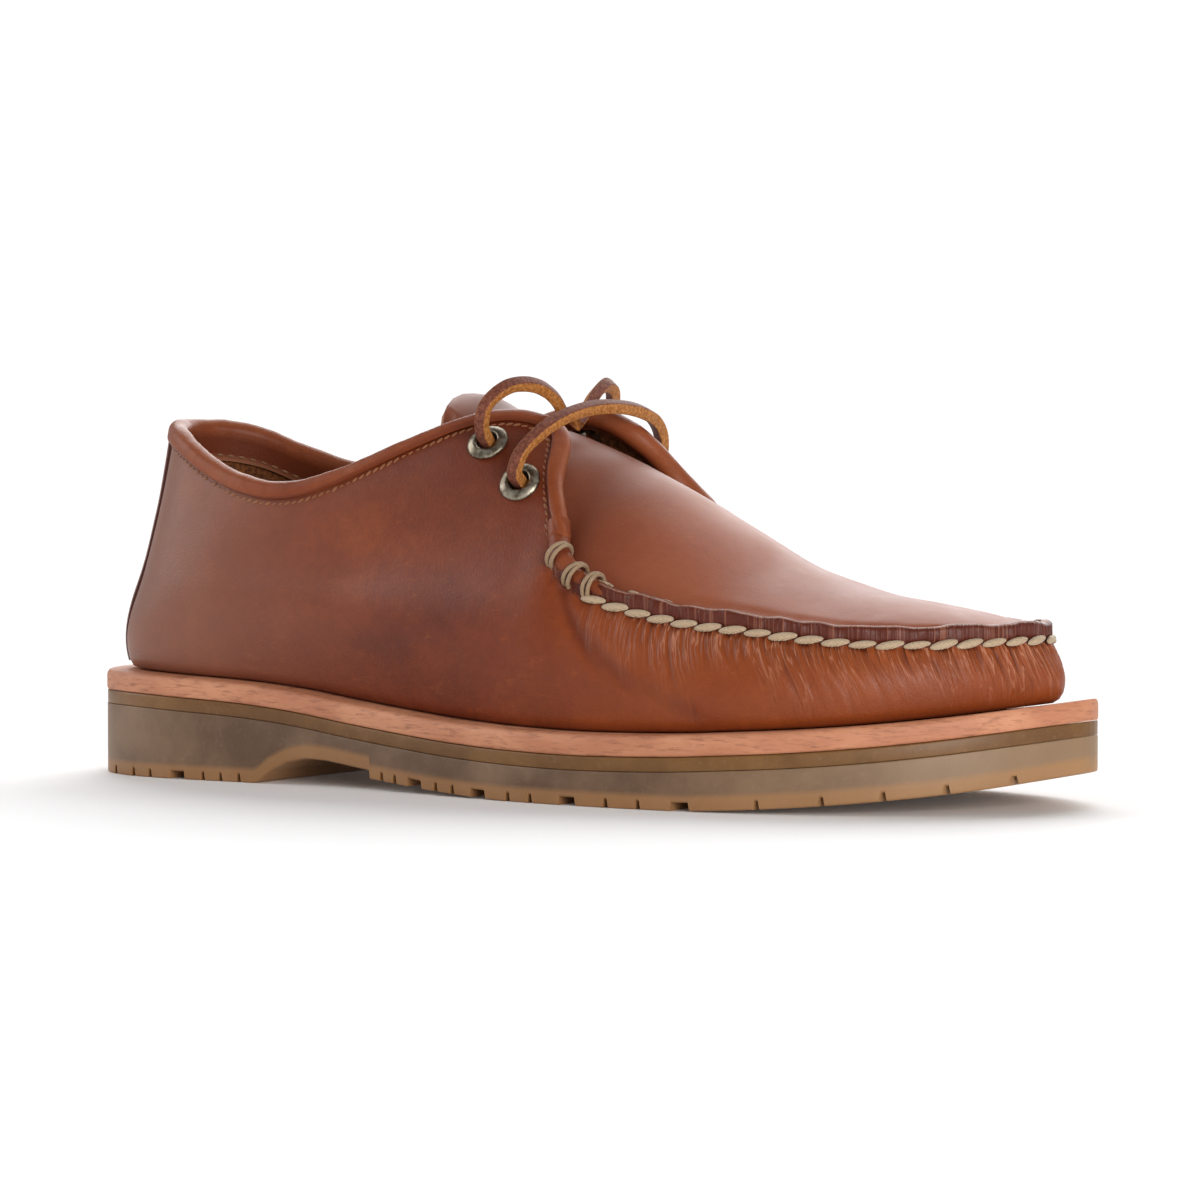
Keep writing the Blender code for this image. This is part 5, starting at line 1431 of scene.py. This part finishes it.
plug_normals = grid_normals(PLUG, False)
plug_normals *= np.sign(plug_normals[:, :, 2:3])
from_left, from_toe = from_first(PLUG, 1), from_first(PLUG, 0)
from_edge = np.min([from_left, from_left[:, -1:] - from_left, from_toe, from_toe[-1] - from_toe], axis=0)
in_apron = np.clip((PLUG[:, :, 0] - APRON_FROM) / APRON_FADE, 0, 1)
edge_turn = np.arctan2(PLUG[:, :, 1] - TOE_MIDDLE[1], PLUG[:, :, 0] - TOE_MIDDLE[0])
pulls = soft_noise(from_toe / 2.6 + np.sign(PLUG_SPREAD) * 20, edge_turn * 9) - 0.5
swell = soft_noise(PLUG[:, :, 0] / 26, PLUG[:, :, 1] / 19) - 0.5
sunk = 0.8 * pulls * np.exp(-from_edge / 4.5) - 0.5 * np.exp(-(((from_edge - 2.6) / 1.6) ** 2))
plug_move = -0.75 * np.exp(-((from_edge / 0.8) ** 2)) + 0.5 * swell + in_apron * sunk
PLUG_TOP = PLUG + plug_normals * plug_move[:, :, None]
plug_low = PLUG - plug_normals * PLUG_THICK
for edge in (np.s_[:, 0], np.s_[:, -1], np.s_[0], np.s_[-1]):
    plug_low[edge] = PLUG[edge] - UP * PLUG_THICK
plug_masks = {
    "cut": np.exp(-((from_edge / 0.9) ** 2)) * (1 - in_apron) * 0.6,
    # painted shade on the apron beside the ridge, where it sinks in
    "painted_shade": in_apron * np.exp(-from_edge / 1.6) * 0.6,
    "stretch": np.clip(0.2 + 0.5 * swell, 0, 0.5),
}
plug_masks = {name: np.concatenate([0 * mask, mask], axis=None) for name, mask in plug_masks.items()}
plug_mesh = shell_mesh(plug_low, PLUG_TOP, np.ones(np.subtract(PLUG.shape[:2], 1), bool))
plug = add_piece("plug_and_tongue_leather", *plug_mesh, PLUG_LEATHER, "plug_and_tongue", masks=plug_masks)
rough_side(plug, 0, len(plug.data.vertices) // 2)

# %% [markdown]
# A narrow strip of leather is folded over the quarters' raw edge and sewn down. It starts at the foot
# of one flap's front, climbs it, goes round the collar and comes down the other flap. At every place
# the same U-shaped section stands across the edge: a short leg outside, a round fold over the top, and
# a longer leg inside. Sweeping that section along the edge makes the whole binding.

# %% The binding's path
FRONT_STRIDE, COLLAR_STRIDE, RAIL_POINTS = 3, 2, 6
flap_lines = [k for k in range(len(TURNS)) if not SEAM[k]]
top_row = OUTER.shape[1] - 1


FRONT_ROWS = range(BREAK_AT + 1, top_row)


def rail_cells():
    """For each place on the edge, the grid cells from the edge inwards."""
    steps = range(RAIL_POINTS)
    ends = [(flap_lines[0], FRONT_STRIDE), (flap_lines[-1], -FRONT_STRIDE)]
    fronts = [[[(line + k * stride, row) for k in steps] for row in FRONT_ROWS] for line, stride in ends]
    corners = [[(line + k * stride, top_row - k * COLLAR_STRIDE) for k in steps] for line, stride in ends]
    collar = [[(line, top_row - k * COLLAR_STRIDE) for k in steps] for line in flap_lines[1:-1]]
    return fronts[0] + corners[:1] + collar + corners[1:] + fronts[1][::-1]


def along_rail(rail, distance):
    """A point on a rail, at a distance from the edge."""
    return read_at(distance, distances(rail), rail)[0]


def soften(values, passes, corners, reach):
    """Rounds a corner of a path by averaging its neighbours, only near the corner."""
    values = values.copy()
    index = np.arange(len(values))
    near = np.exp(-(np.min([np.abs(index - c) for c in corners], axis=0) / reach) ** 2)[:, None]
    for _ in range(passes):
        mean = values.copy()
        mean[1:-1] = (values[:-2] + values[1:-1] * 2 + values[2:]) / 4
        values = values * (1 - near) + mean * near
    return values


CELLS = rail_cells()
FLAT_INNER = OUTER - normals * WALL
rail_share = np.array([abs(TURNS[cell[0][0]]) for cell in CELLS])
rails = [tuple(layer[tuple(zip(*cell))] for layer in (OUTER, FLAT_INNER, normals)) for cell in CELLS]
corner_at = [len(FRONT_ROWS), len(CELLS) - 1 - len(FRONT_ROWS)]
print("binding places:", len(CELLS))

# %% The rolled binding
ROLL_ANGLES = np.radians(range(0, 181, 15))
# The binding's outer and inner face, measured from the leather
SHELL, SLOT = GAP + 0.3 + BINDING_THICK, GAP + 0.15
# Shares along the shoe between which the collar turns into a flap's front
FRONT_SHARES = (0.46, 0.53)


def on_front(k):
    """0 along the collar and 1 down a flap's front."""
    return float(np.interp(rail_share[k], FRONT_SHARES, (0, 1)))


def binding_frames():
    """Middle of the edge, outward and edgeward directions, rounded at the flap's top corner."""
    middle = np.array([(face[0] + back[0]) / 2 for face, back, _ in rails])
    out = np.array([normal[0] for _, _, normal in rails])
    edge = unit(np.array([face[0] - along_rail(face, BINDING_LEG) for face, _, _ in rails]))
    middle, edge = soften(middle, 50, corner_at, 8), soften(edge, 60, corner_at, 12)
    edge = unit(edge - out * (edge * out).sum(axis=1)[:, None])
    return middle, out, edge, distances(middle)


BIND_MIDDLE, BIND_OUT, BIND_EDGE, BIND_ALONG = binding_frames()


def binding_section(k):
    """The binding's section at one place: outer leg, roll, inner leg and back along the slot."""
    back = rails[k][1]
    middle, out, edge = BIND_MIDDLE[k], BIND_OUT[k], BIND_EDGE[k]
    lump = (soft_noise(BIND_ALONG[k] / 7, 33.0) - 0.5) * 0.35
    lump = lump + (soft_noise(BIND_ALONG[k] / 2.2, 51.0) - 0.5) * 0.14
    from_end = min(BIND_ALONG[k], BIND_ALONG[-1] - BIND_ALONG[k])
    leg = (BINDING_LEG - 0.5 * on_front(k)) * float(np.interp(from_end, (0, 7), (0.25, 1)))
    inner_leg = np.interp(rail_share[k], BINDING_FADE, (BINDING_INNER_LEG, BINDING_FLAP_LEG))
    roll = WALL / 2 + SHELL + lump + 0.25 * on_front(k)
    base, inner_base = middle - edge * leg, middle - out * (WALL / 2)
    corner = ((0.75, 0.0), (0.2, 0.25), (0.0, 0.8))
    ring = [base + out * (WALL / 2 + SHELL - low) + edge * up for low, up in corner]
    ring += [middle + (out * math.cos(a) + edge * math.sin(a)) * roll for a in ROLL_ANGLES]
    steps = [(s, along_rail(back, inner_leg * s) - back[0]) for s in (0.25, 0.5, 0.75, 1.0)]
    ring += [inner_base + step - out * (SHELL - 0.25 * s) for s, step in steps]
    ring += [inner_base + step - out * SLOT for _, step in steps[::-1]]
    ring += [inner_base - out * SLOT + edge * SLOT, middle + out * (WALL / 2 + SLOT) + edge * SLOT]
    return np.array(ring + [base + out * (WALL / 2 + SLOT)])


def on_ring(first, last, value):
    """A mask along the binding, on a range of its section's points."""
    return np.where((around >= first) & (around <= last), value, 0.0)


sections = np.array([binding_section(k) for k in range(len(CELLS))])
around = np.tile(np.arange(sections.shape[1]), len(CELLS))
binding_masks = {
    "stretch": on_ring(6, 12, 0.35),
    # painted shade at the foot of the outer leg and on the inner leg inside the collar
    "painted_shade": on_ring(0, 1, 0.7) + on_ring(16, 18, 0.9),
    "cut": on_ring(19, 20, 0.2),
}
add_piece("binding_roll", *loft(sections[::-1]), BINDING, "collar_binding", masks=binding_masks, bend=60)

# %% Strip over the heel seam
STRIP_COLUMNS, STRIP_ROWS = 21, 60
# The sole's edge is this many times as long as the sole, on each side
EDGE_RATIO = 1.14


def at_turn(grid, turn):
    """A column of the grid between two of its lines."""
    after = int(np.searchsorted(TURNS, turn))
    part = (turn - TURNS[after - 1]) / (TURNS[after] - TURNS[after - 1])
    return (grid[after - 1] * (1 - part) + grid[after] * part)[FEET_ROWS:]


def heel_strip():
    """Points under the strip and the directions out of them, from the sole up to the binding."""
    half_share = STRIP_WIDTH / 2 / (SOLE_LENGTH * EDGE_RATIO)
    found = []
    for turn in np.linspace(-half_share, half_share, STRIP_COLUMNS):
        column, ways = at_turn(OUTER, turn), at_turn(normals, turn)
        at = distances(column)
        where = np.linspace(0, 1, STRIP_ROWS) * (1 - (BINDING_LEG + 1.2) / at[-1]) * at[-1]
        found.append([read_at(where, at, column), read_at(where, at, ways)])
    return np.array(found).swapaxes(0, 1)


under, strip_way = heel_strip()
strip_column, strip_row = np.ogrid[:STRIP_COLUMNS, :STRIP_ROWS]
edge_away = np.minimum(strip_column, STRIP_COLUMNS - 1 - strip_column) * (STRIP_WIDTH / (STRIP_COLUMNS - 1))
strip_rise = STRIP_THICK - 0.6 * np.exp(-((edge_away / 0.8) ** 2))
strip_rise = strip_rise - 0.28 * np.exp(-(((edge_away - 2.4) / 0.7) ** 2))
strip_rise = strip_rise + (soft_noise(strip_column / 5, strip_row / 9) - 0.5) * 0.25
face = under + strip_way * (GAP * 0.3 + strip_rise)[:, :, None]
strip_mesh = shell_mesh(face, under - strip_way * 0.2, np.ones((STRIP_COLUMNS - 1, STRIP_ROWS - 1), bool))
# Painted shade along the strip's edges and on its underside
strip_dark = np.full((2, *strip_rise.shape), 0.9)
strip_dark[0] *= np.exp(-((edge_away / 0.7) ** 2))
add_piece("heel_strip", *strip_mesh, LEATHER, "back_strip", masks={"painted_shade": strip_dark})

# %% Sock inside
sock = bpy.data.objects["insole"] if "insole" in bpy.data.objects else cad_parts["insole"]
for slot in sock.material_slots:
    slot.material = SOCK
print("sock:", sock.name)

# %% [markdown]
# An eyelet is a turned part: one short profile, spun about the hole's axis. Its flange is domed and
# its mouth is rolled over, which catches a bright ring of light. The leather under it has a hole, so
# that the lace can pass through, and the mouth looks dark.

# %% Eyelets
EYELET_PROFILE = [
    # radius, height above the leather
    (2.72, -2.6), (2.72, -0.4), (2.74, 0.6), (2.85, 1.15), (3.1, 1.5), (3.45, 1.62), (3.9, 1.55),
    (4.5, 1.35), (5.1, 1.05), (5.5, 0.72), (5.7, 0.38), (5.66, 0.12), (5.4, 0.0), (3.3, 0.0),
    (3.3, -2.4), (4.6, -2.6), (4.6, -3.1), (3.1, -3.2),
]
EYELET_SPOKES = 48


def closed_faces(rings, count):
    """Faces of a ring-shaped body, whose sections are closed and follow one another round."""
    return [
        [a * count + i, a * count + (i + 1) % count, b * count + (i + 1) % count, b * count + i]
        for a, b in ((k, (k + 1) % rings) for k in range(rings))
        for i in range(count)
    ]


def turned(rows, centre, axis, up):
    """A profile of (radius, height), spun about an axis."""
    side = unit(np.cross(axis, up))
    up = np.cross(side, axis)
    points = []
    for across, rise in round_outline(EYELET_SPOKES):
        spoke = across * side + rise * up
        points += [centre + spoke * radius + axis * height for radius, height in rows]
    return np.array(points), closed_faces(EYELET_SPOKES, len(rows))


EYELETS = {}
for side, number, share, up in EYELET_PLACES:
    centre, normal, rise = flap_frame(side, share, up)
    EYELETS[side, number] = (centre, normal)
    ring = turned(EYELET_PROFILE[::-1], centre, normal, rise)
    add_piece(f"eyelet_ring_{side}_{number}", *ring, BRASS, f"eyelet_{side}_{number}")

# %% [markdown]
# The binding does not stop at the foot of the flap. Its roll bends forward on to the seam's ridge and
# dies away there, and three turns of the cream thread hold it down. The roll is a round section carried
# along a short path that gets thinner, and pinched where a turn of thread crosses it.

# %% The roll on the seam's first centimetre
SEAM_LINES = {"medial": np.where(SEAM & (TURNS < 0))[0][::-1], "lateral": np.where(SEAM & (TURNS > 0))[0]}
SEAM_AWAY = {side: np.abs(ALONG[lines] - ALONG[lines[0]]) for side, lines in SEAM_LINES.items()}
# The roll's path along the ridge: distance from the throat, height above the waist
ROLL_PLACES = ((2.2, 4.3), (5.0, 3.8), (8.5, 3.4), (12.0, 3.0), (15.5, 2.4), (18.5, 1.4))
# Its radius at distances from the throat
ROLL_RADII = (-2, 0, 3, 8, 13, 19), (3.05, 3.12, 3.0, 2.75, 2.5, 2.0)
ROLL_SIDES = 20


def on_seam(side, away):
    """The seam's waist point and its outward direction, at a distance from the throat."""
    lines, distance = SEAM_LINES[side], SEAM_AWAY[side]
    point, outward = (read_at(away, distance, values[lines])[0] for values in (WAIST_POINTS, OUTWARDS))
    return point, unit(outward)


def ridge_middle(side, away, height):
    """A point in the middle of the ridge, at a distance from the throat and a height above the waist."""
    point, outward = on_seam(side, away)
    return point + UP * height - outward * RIDGE_WIDTH / 2


def roll_end(side):
    """The binding's roll, carried on from the foot of the flap until it dies away on the ridge."""
    k, inner = (0, 1) if side == "medial" else (len(CELLS) - 1, -1)
    foot, above = BIND_MIDDLE[k], BIND_MIDDLE[k + 3 * inner]
    path = smooth_path([above, foot] + [ridge_middle(side, *place) for place in ROLL_PLACES], 60)
    away = distances(path) - np.linalg.norm(above - foot)
    pinch = sum(np.exp(-((away - wrap - 0.6) ** 2)) for wrap, _ in THROAT_WRAPS[1:])
    lump = (soft_noise(distances(path) / 3.0, 70.0 + k) - 0.5) * 0.5
    radius = np.interp(away, *ROLL_RADII) + lump * (away > 0) - 0.34 * pinch
    # Painted shade along the roll, deepest where the turns of thread pinch it
    dark = np.repeat(np.clip(0.25 + 0.6 * pinch, 0, 0.9), ROLL_SIDES)
    body = sweep(path, round_outline(ROLL_SIDES), radius, UP)
    add_piece(f"roll_end_{side}", *body, BINDING, slot="collar_binding", masks={"painted_shade": dark}, bend=60)


for side in SEAM_LINES:
    roll_end(side)
seam_length = float(SEAM_AWAY["lateral"][-1])
print("half the seam:", round(seam_length, 1), "mm")

# %% Turns of thread round the throat's ends
LOOP_POINTS, THREAD_SIDES = 40, 10
# How far a loop stands out from the ridge, half its height, and its two plies
LOOP_OUT, LOOP_UP = 1.15, 3.7
PLY_APART, PLY_RADIUS = 0.75, THREAD_THICK * 0.30


def wrap_path(side, away, height, tilt):
    """A loop round the ridge and the roll, leaning a little back towards the throat."""
    outward = on_seam(side, away)[1]
    ahead = unit(on_seam(side, away + 1)[0] - on_seam(side, away - 0.5)[0])
    rise = np.cross(ahead, outward)
    rise *= np.sign(rise[2])
    wide = outward * (RIDGE_WIDTH / 2 + LOOP_OUT) + ahead * tilt
    spots = round_outline(LOOP_POINTS)
    return np.array([ridge_middle(side, away, height) + wide * a + rise * LOOP_UP * b for a, b in spots])


def thread_ring(path):
    """A closed ring of thread through the points of a loop."""
    way = unit(np.roll(path, -1, axis=0) - np.roll(path, 1, axis=0))
    out = path - path.mean(axis=0)
    out = unit(out - way * (out * way).sum(axis=1)[:, None])
    side = np.cross(way, out)
    spots = round_outline(THREAD_SIDES)
    rings = [p + (out[k] * a + side[k] * b) * PLY_RADIUS for k, p in enumerate(path) for a, b in spots]
    return np.array(rings), [face[::-1] for face in closed_faces(len(path), THREAD_SIDES)]


def add_wraps(side):
    """Three turns of a thread of two plies that lie side by side."""
    points, faces = [], []
    for away, height in THROAT_WRAPS:
        for shift, tilt in ((0.0, -1.1), (PLY_APART, -0.2)):
            ring, ring_faces = thread_ring(wrap_path(side, away + shift, height, tilt))
            faces += [[index + len(points) * len(ring) for index in face] for face in ring_faces]
            points.append(ring)
    add_piece(f"throat_wraps_{side}", np.vstack(points), faces, SEAM_THREAD, slot="upper", bend=60)


for side in SEAM_LINES:
    add_wraps(side)

# %% [markdown]
# Every row of stitches on the shoe is the same idea: one short length of thread, repeated at a steady
# pitch along a line, lying along the line and flat on the leather. Geometry Nodes suit that well. The
# tree takes a line whose points know which way is out, spaces points along it, shapes one stitch from a
# stretched sphere, turns each copy to the line, and varies the copies a little from a fixed seed.

# %% The tree that sews
STITCH_SOCKETS = [
    ("Pitch", "NodeSocketFloat", 0.007), ("Length", "NodeSocketFloat", 0.006),
    ("Width", "NodeSocketFloat", 0.002), ("Height", "NodeSocketFloat", 0.0015),
    ("Slant", "NodeSocketFloat", 0.0), ("Unevenness", "NodeSocketFloat", 0.1),
    ("Seed", "NodeSocketInt", 3), ("Thread", "NodeSocketMaterial", None),
]
VECTORS = {"data_type": "FLOAT_VECTOR"}


def varied(tree, given, low, high, offset):
    """A random number for each stitch, from the tree's own seed."""
    low, high = (plus(tree, times(tree, given["Unevenness"], limit), offset) for limit in (low, high))
    kind = {"data_type": "FLOAT"}
    return add_node(tree, "FunctionNodeRandomValue", kind, i2=low, i3=high, i8=given["Seed"]).outputs[1]


def stitch_tree():
    """The tree and the names that its inputs go by on a modifier."""
    tree = bpy.data.node_groups.new("stitch_line", "GeometryNodeTree")
    tree.interface.new_socket("Geometry", in_out="INPUT", socket_type="NodeSocketGeometry")
    names = {}
    for label, kind, value in STITCH_SOCKETS:
        socket = tree.interface.new_socket(label, in_out="INPUT", socket_type=kind)
        if value is not None:
            socket.default_value = value
        names[label] = socket.identifier
    tree.interface.new_socket("Geometry", in_out="OUTPUT", socket_type="NodeSocketGeometry")
    given, put = tree.nodes.new("NodeGroupInput").outputs, tree.nodes.new("NodeGroupOutput").inputs

    def made(kind, settings=(), **inputs):
        return add_node(tree, kind, settings, **inputs).outputs[0]

    line = made("GeometryNodeMeshToCurve", Mesh=given["Geometry"])
    spaced = made("GeometryNodeResampleCurve", {"mode": "LENGTH"}, Curve=line, Length=given["Pitch"])
    out = made("GeometryNodeInputNamedAttribute", VECTORS, Name="out")
    tangent = made("GeometryNodeInputTangent")
    along = made("FunctionNodeAlignRotationToVector", {"axis": "X"}, Vector=tangent)
    upright = {"axis": "Z", "pivot_axis": "X"}
    faced = made("FunctionNodeAlignRotationToVector", upright, Rotation=along, Vector=out)
    lean = made("ShaderNodeCombineXYZ", Z=plus(tree, given["Slant"], varied(tree, given, -0.5, 0.5, 0.0)))
    lean = made("FunctionNodeEulerToRotation", Euler=lean)
    facing = made("FunctionNodeRotateRotation", {"rotation_space": "LOCAL"}, i0=faced, i1=lean)
    ball = made("GeometryNodeMeshUVSphere", Segments=12, Rings=9, Radius=0.5)
    level = made("GeometryNodeTransform", Geometry=ball, Rotation=(0.0, math.pi / 2, 0.0))
    spot = made("GeometryNodeInputPosition")
    named = made("GeometryNodeStoreNamedAttribute", VECTORS, Geometry=level, Name="strand", Value=spot)
    size = made("ShaderNodeCombineXYZ", X=given["Length"], Y=given["Width"], Z=given["Height"])
    stitch = made("GeometryNodeTransform", Geometry=named, Scale=size)
    longer, wider = varied(tree, given, -0.6, 0.4, 1.0), varied(tree, given, -0.9, 0.9, 1.0)
    bulk = made("ShaderNodeCombineXYZ", X=longer, Y=wider, Z=1.0)
    copies = {"Instance": stitch, "Rotation": facing, "Scale": bulk}
    placed = made("GeometryNodeInstanceOnPoints", Points=spaced, **copies)
    real = made("GeometryNodeRealizeInstances", Geometry=placed)
    smooth = made("GeometryNodeSetShadeSmooth", Geometry=real)
    done = made("GeometryNodeSetMaterial", Geometry=smooth, Material=given["Thread"])
    tree.links.new(done, put["Geometry"])
    return tree, names


STITCHES, STITCH_IDS = stitch_tree()
print("stitch tree:", len(STITCHES.nodes), "nodes")

# %% Sewing a line
def sew(name, lines, slot, **inputs):
    """Sews stitches along lines of (points, outward directions), and keeps the result as a plain mesh."""
    spots, outs, edges = [], [], []
    for points, out in lines:
        first = len(spots)
        spots += ((points - SHIFT) * MM).tolist()
        outs += out.tolist()
        edges += [(k, k + 1) for k in range(first, len(spots) - 1)]
    mesh = bpy.data.meshes.new(name + "_line")
    mesh.from_pydata(spots, edges, [])
    facing = mesh.attributes.new("out", "FLOAT_VECTOR", "POINT")
    facing.data.foreach_set("vector", np.ravel(outs).astype(np.float32))
    guide = add_object(name + "_line", mesh)
    modifier = guide.modifiers.new("stitches", "NODES")
    modifier.node_group = STITCHES
    for label, value in inputs.items():
        modifier[STITCH_IDS[label]] = value
    result = guide.evaluated_get(bpy.context.evaluated_depsgraph_get())
    piece = add_object(name, bpy.data.meshes.new_from_object(result))
    bpy.data.objects.remove(guide)
    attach(piece, "root")
    print(f"{name}: {len(piece.data.polygons)} faces")


def even_line(points, out, step=1.0):
    """The same line with evenly spaced points."""
    length = distances(points)
    at = np.linspace(0, length[-1], max(int(length[-1] / step), 2))
    return read_at(at, length, points), read_at(at, length, out)


def seam_line():
    """All round the toe, just below the ridge, from one throat end to the other."""
    away = np.arange(THROAT_WRAPS[-1][0] + 1.6, seam_length, 1.0)
    half = {side: [on_seam(side, a) for a in away] for side in SEAM_LINES}
    order = half["lateral"] + half["medial"][::-1]
    points = np.array([point + outward * 0.35 + UP * 0.15 for point, outward in order])
    out = np.array([outward * 0.94 + UP * 0.34 for _, outward in order])
    return even_line(points, out, 0.8)


SEAM_LINE = seam_line()
seam_run = distances(SEAM_LINE[0])[-1]
sew(
    "seam_stitches", [SEAM_LINE], "upper", Pitch=seam_run * MM / round(seam_run / SEAM_PITCH),
    Length=SEAM_PITCH * MM * 1.10, Width=THREAD_THICK * MM * 1.15, Height=THREAD_THICK * MM,
    Slant=0.19, Unevenness=0.12, Seed=5, Thread=SEAM_THREAD,
)

# %% Fine stitching on the quarters and the plug
def binding_stitch_line(from_edge, inside=False):
    """A line of stitching at a distance from the bound edge, outside or on the binding's inner leg."""
    points = []
    for k, (face, back, _) in enumerate(rails):
        if inside:
            away = along_rail(back, from_edge) - back[0] - BIND_OUT[k] * (WALL / 2 + SHELL - 0.05)
        else:
            away = along_rail(face, from_edge - 0.3 * on_front(k)) - face[0] + BIND_OUT[k] * (WALL / 2 + 0.05)
        points.append(BIND_MIDDLE[k] + away)
    return even_line(soften(np.array(points), 50, corner_at, 8), -BIND_OUT if inside else BIND_OUT)


sew(
    "collar_stitches", [binding_stitch_line(BINDING_LEG + 1.1)], "collar_binding", Pitch=0.0022,
    Length=0.0019, Width=0.0007, Height=0.0006, Slant=0.35, Unevenness=0.5, Seed=11, Thread=FINE_THREAD,
)
# The lining's row ends where the flaps begin, at this station
LINING_ENDS = 108.5
inside_run = binding_stitch_line(6.9, True)
keep = inside_run[0][:, 0] < LINING_ENDS
sew(
    "lining_stitches", [[values[keep] for values in inside_run]], "collar_binding", Pitch=0.0033,
    Length=0.0020, Width=0.0006, Height=0.0005, Unevenness=0.2, Seed=12, Thread=LINING_THREAD,
)


def plug_side_line(side):
    """The thread's other face, which shows on the plug near the throat."""
    away = np.arange(THROAT_WRAPS[-1][0] + 2.0, THROAT_WRAPS[-1][0] + 22.0, 1.0)
    spots = [on_seam(side, a) for a in away]
    rise, inward = UP * (RIDGE_HEIGHT - 0.5), RIDGE_WIDTH + 0.5
    points = np.array([point + rise - outward * inward for point, outward in spots])
    return points, np.array([UP * 0.9 - outward * 0.44 for _, outward in spots])


sew(
    "plug_side_stitches", [plug_side_line(side) for side in SEAM_LINES], "upper", Pitch=0.0066,
    Length=0.0048, Width=0.0013, Height=0.0011, Slant=0.1, Unevenness=0.2, Seed=9, Thread=SEAM_THREAD,
)

# %% [markdown]
# The lace is rawhide, cut square: two faces keep the dyed grain and two are bare golden cuts. A square
# section with rounded corners is swept along each run. The middle run goes down through both lower
# eyelets. The two free ends come up through the upper ones, cross the throat and tuck in under it.

# %% The lace
CORNER_ROUND = 0.30


def square_outline():
    """A square with rounded corners, and which of its points lie on a bare cut."""
    outline = []
    for start in (0, 90, 180, 270):
        wide, deep = ((1, 1), (-1, 1), (-1, -1), (1, -1))[start // 90]
        for angle in np.radians([start, start + 30, start + 60, start + 90]):
            across = wide * (1 - CORNER_ROUND) + CORNER_ROUND * math.cos(angle)
            outline.append((across, deep * (1 - CORNER_ROUND) + CORNER_ROUND * math.sin(angle)))
    return outline, [float(abs(across) > abs(along)) for across, along in outline]


LACE_OUTLINE, LACE_BARE = square_outline()
# How far the lace goes down into an eyelet, at two points below where it starts
DOWN_EYELET = (5.2, 2.6)


def lace_run(node, path, lead):
    """One run of lace along a smooth path, slightly uneven, as cut leather is."""
    name = f"{node}_rawhide"
    uneven = 1 + 0.05 * (soft_noise(np.arange(len(path)) / 3.5, len(name) * 3.3) - 0.5)
    body = sweep(path, LACE_OUTLINE, LACE_SIDE / 2 * uneven, lead)
    return add_piece(name, *body, RAWHIDE, node, masks={"cut": np.tile(LACE_BARE, len(path))})


def out_of_eyelet(side, number):
    """The lace's way up through an eyelet: two points in it, and the one where it comes out."""
    centre, normal = EYELETS[side, number]
    start = centre + normal * (GAP + LACE_LIFT)
    return [start - normal * depth for depth in DOWN_EYELET], start


near_way, bar_start = out_of_eyelet("lateral", 2)
far_way, bar_end = out_of_eyelet("medial", 2)
span = bar_end - bar_start
bar_reach = np.linalg.norm(span)
bar = [bar_start + span * a + np.array([bar_reach * b, 0, bar_reach * c]) for a, b, c in LACE_BAR]
lace_run("lace_bar", smooth_path(near_way + bar + far_way[::-1], 70), (0.0, -1.0, 0.0))

# %% The lace's free ends
for side, inward, table in (("lateral", 1, LACE_END_LATERAL), ("medial", -1, LACE_END_MEDIAL)):
    way, start = out_of_eyelet(side, 1)
    run = [start + np.array([bar_reach * b, inward * bar_reach * a, bar_reach * c]) for a, b, c in table]
    path = smooth_path(way + run, 60)
    end = lace_run(f"lace_end_{side}", path, (0.0, -inward, 0.0))
    in_frame = (path - SHIFT) * MM
    length = float(distances(in_frame)[-1])
    print("free end", side, round(length * 1000, 1), "mm")
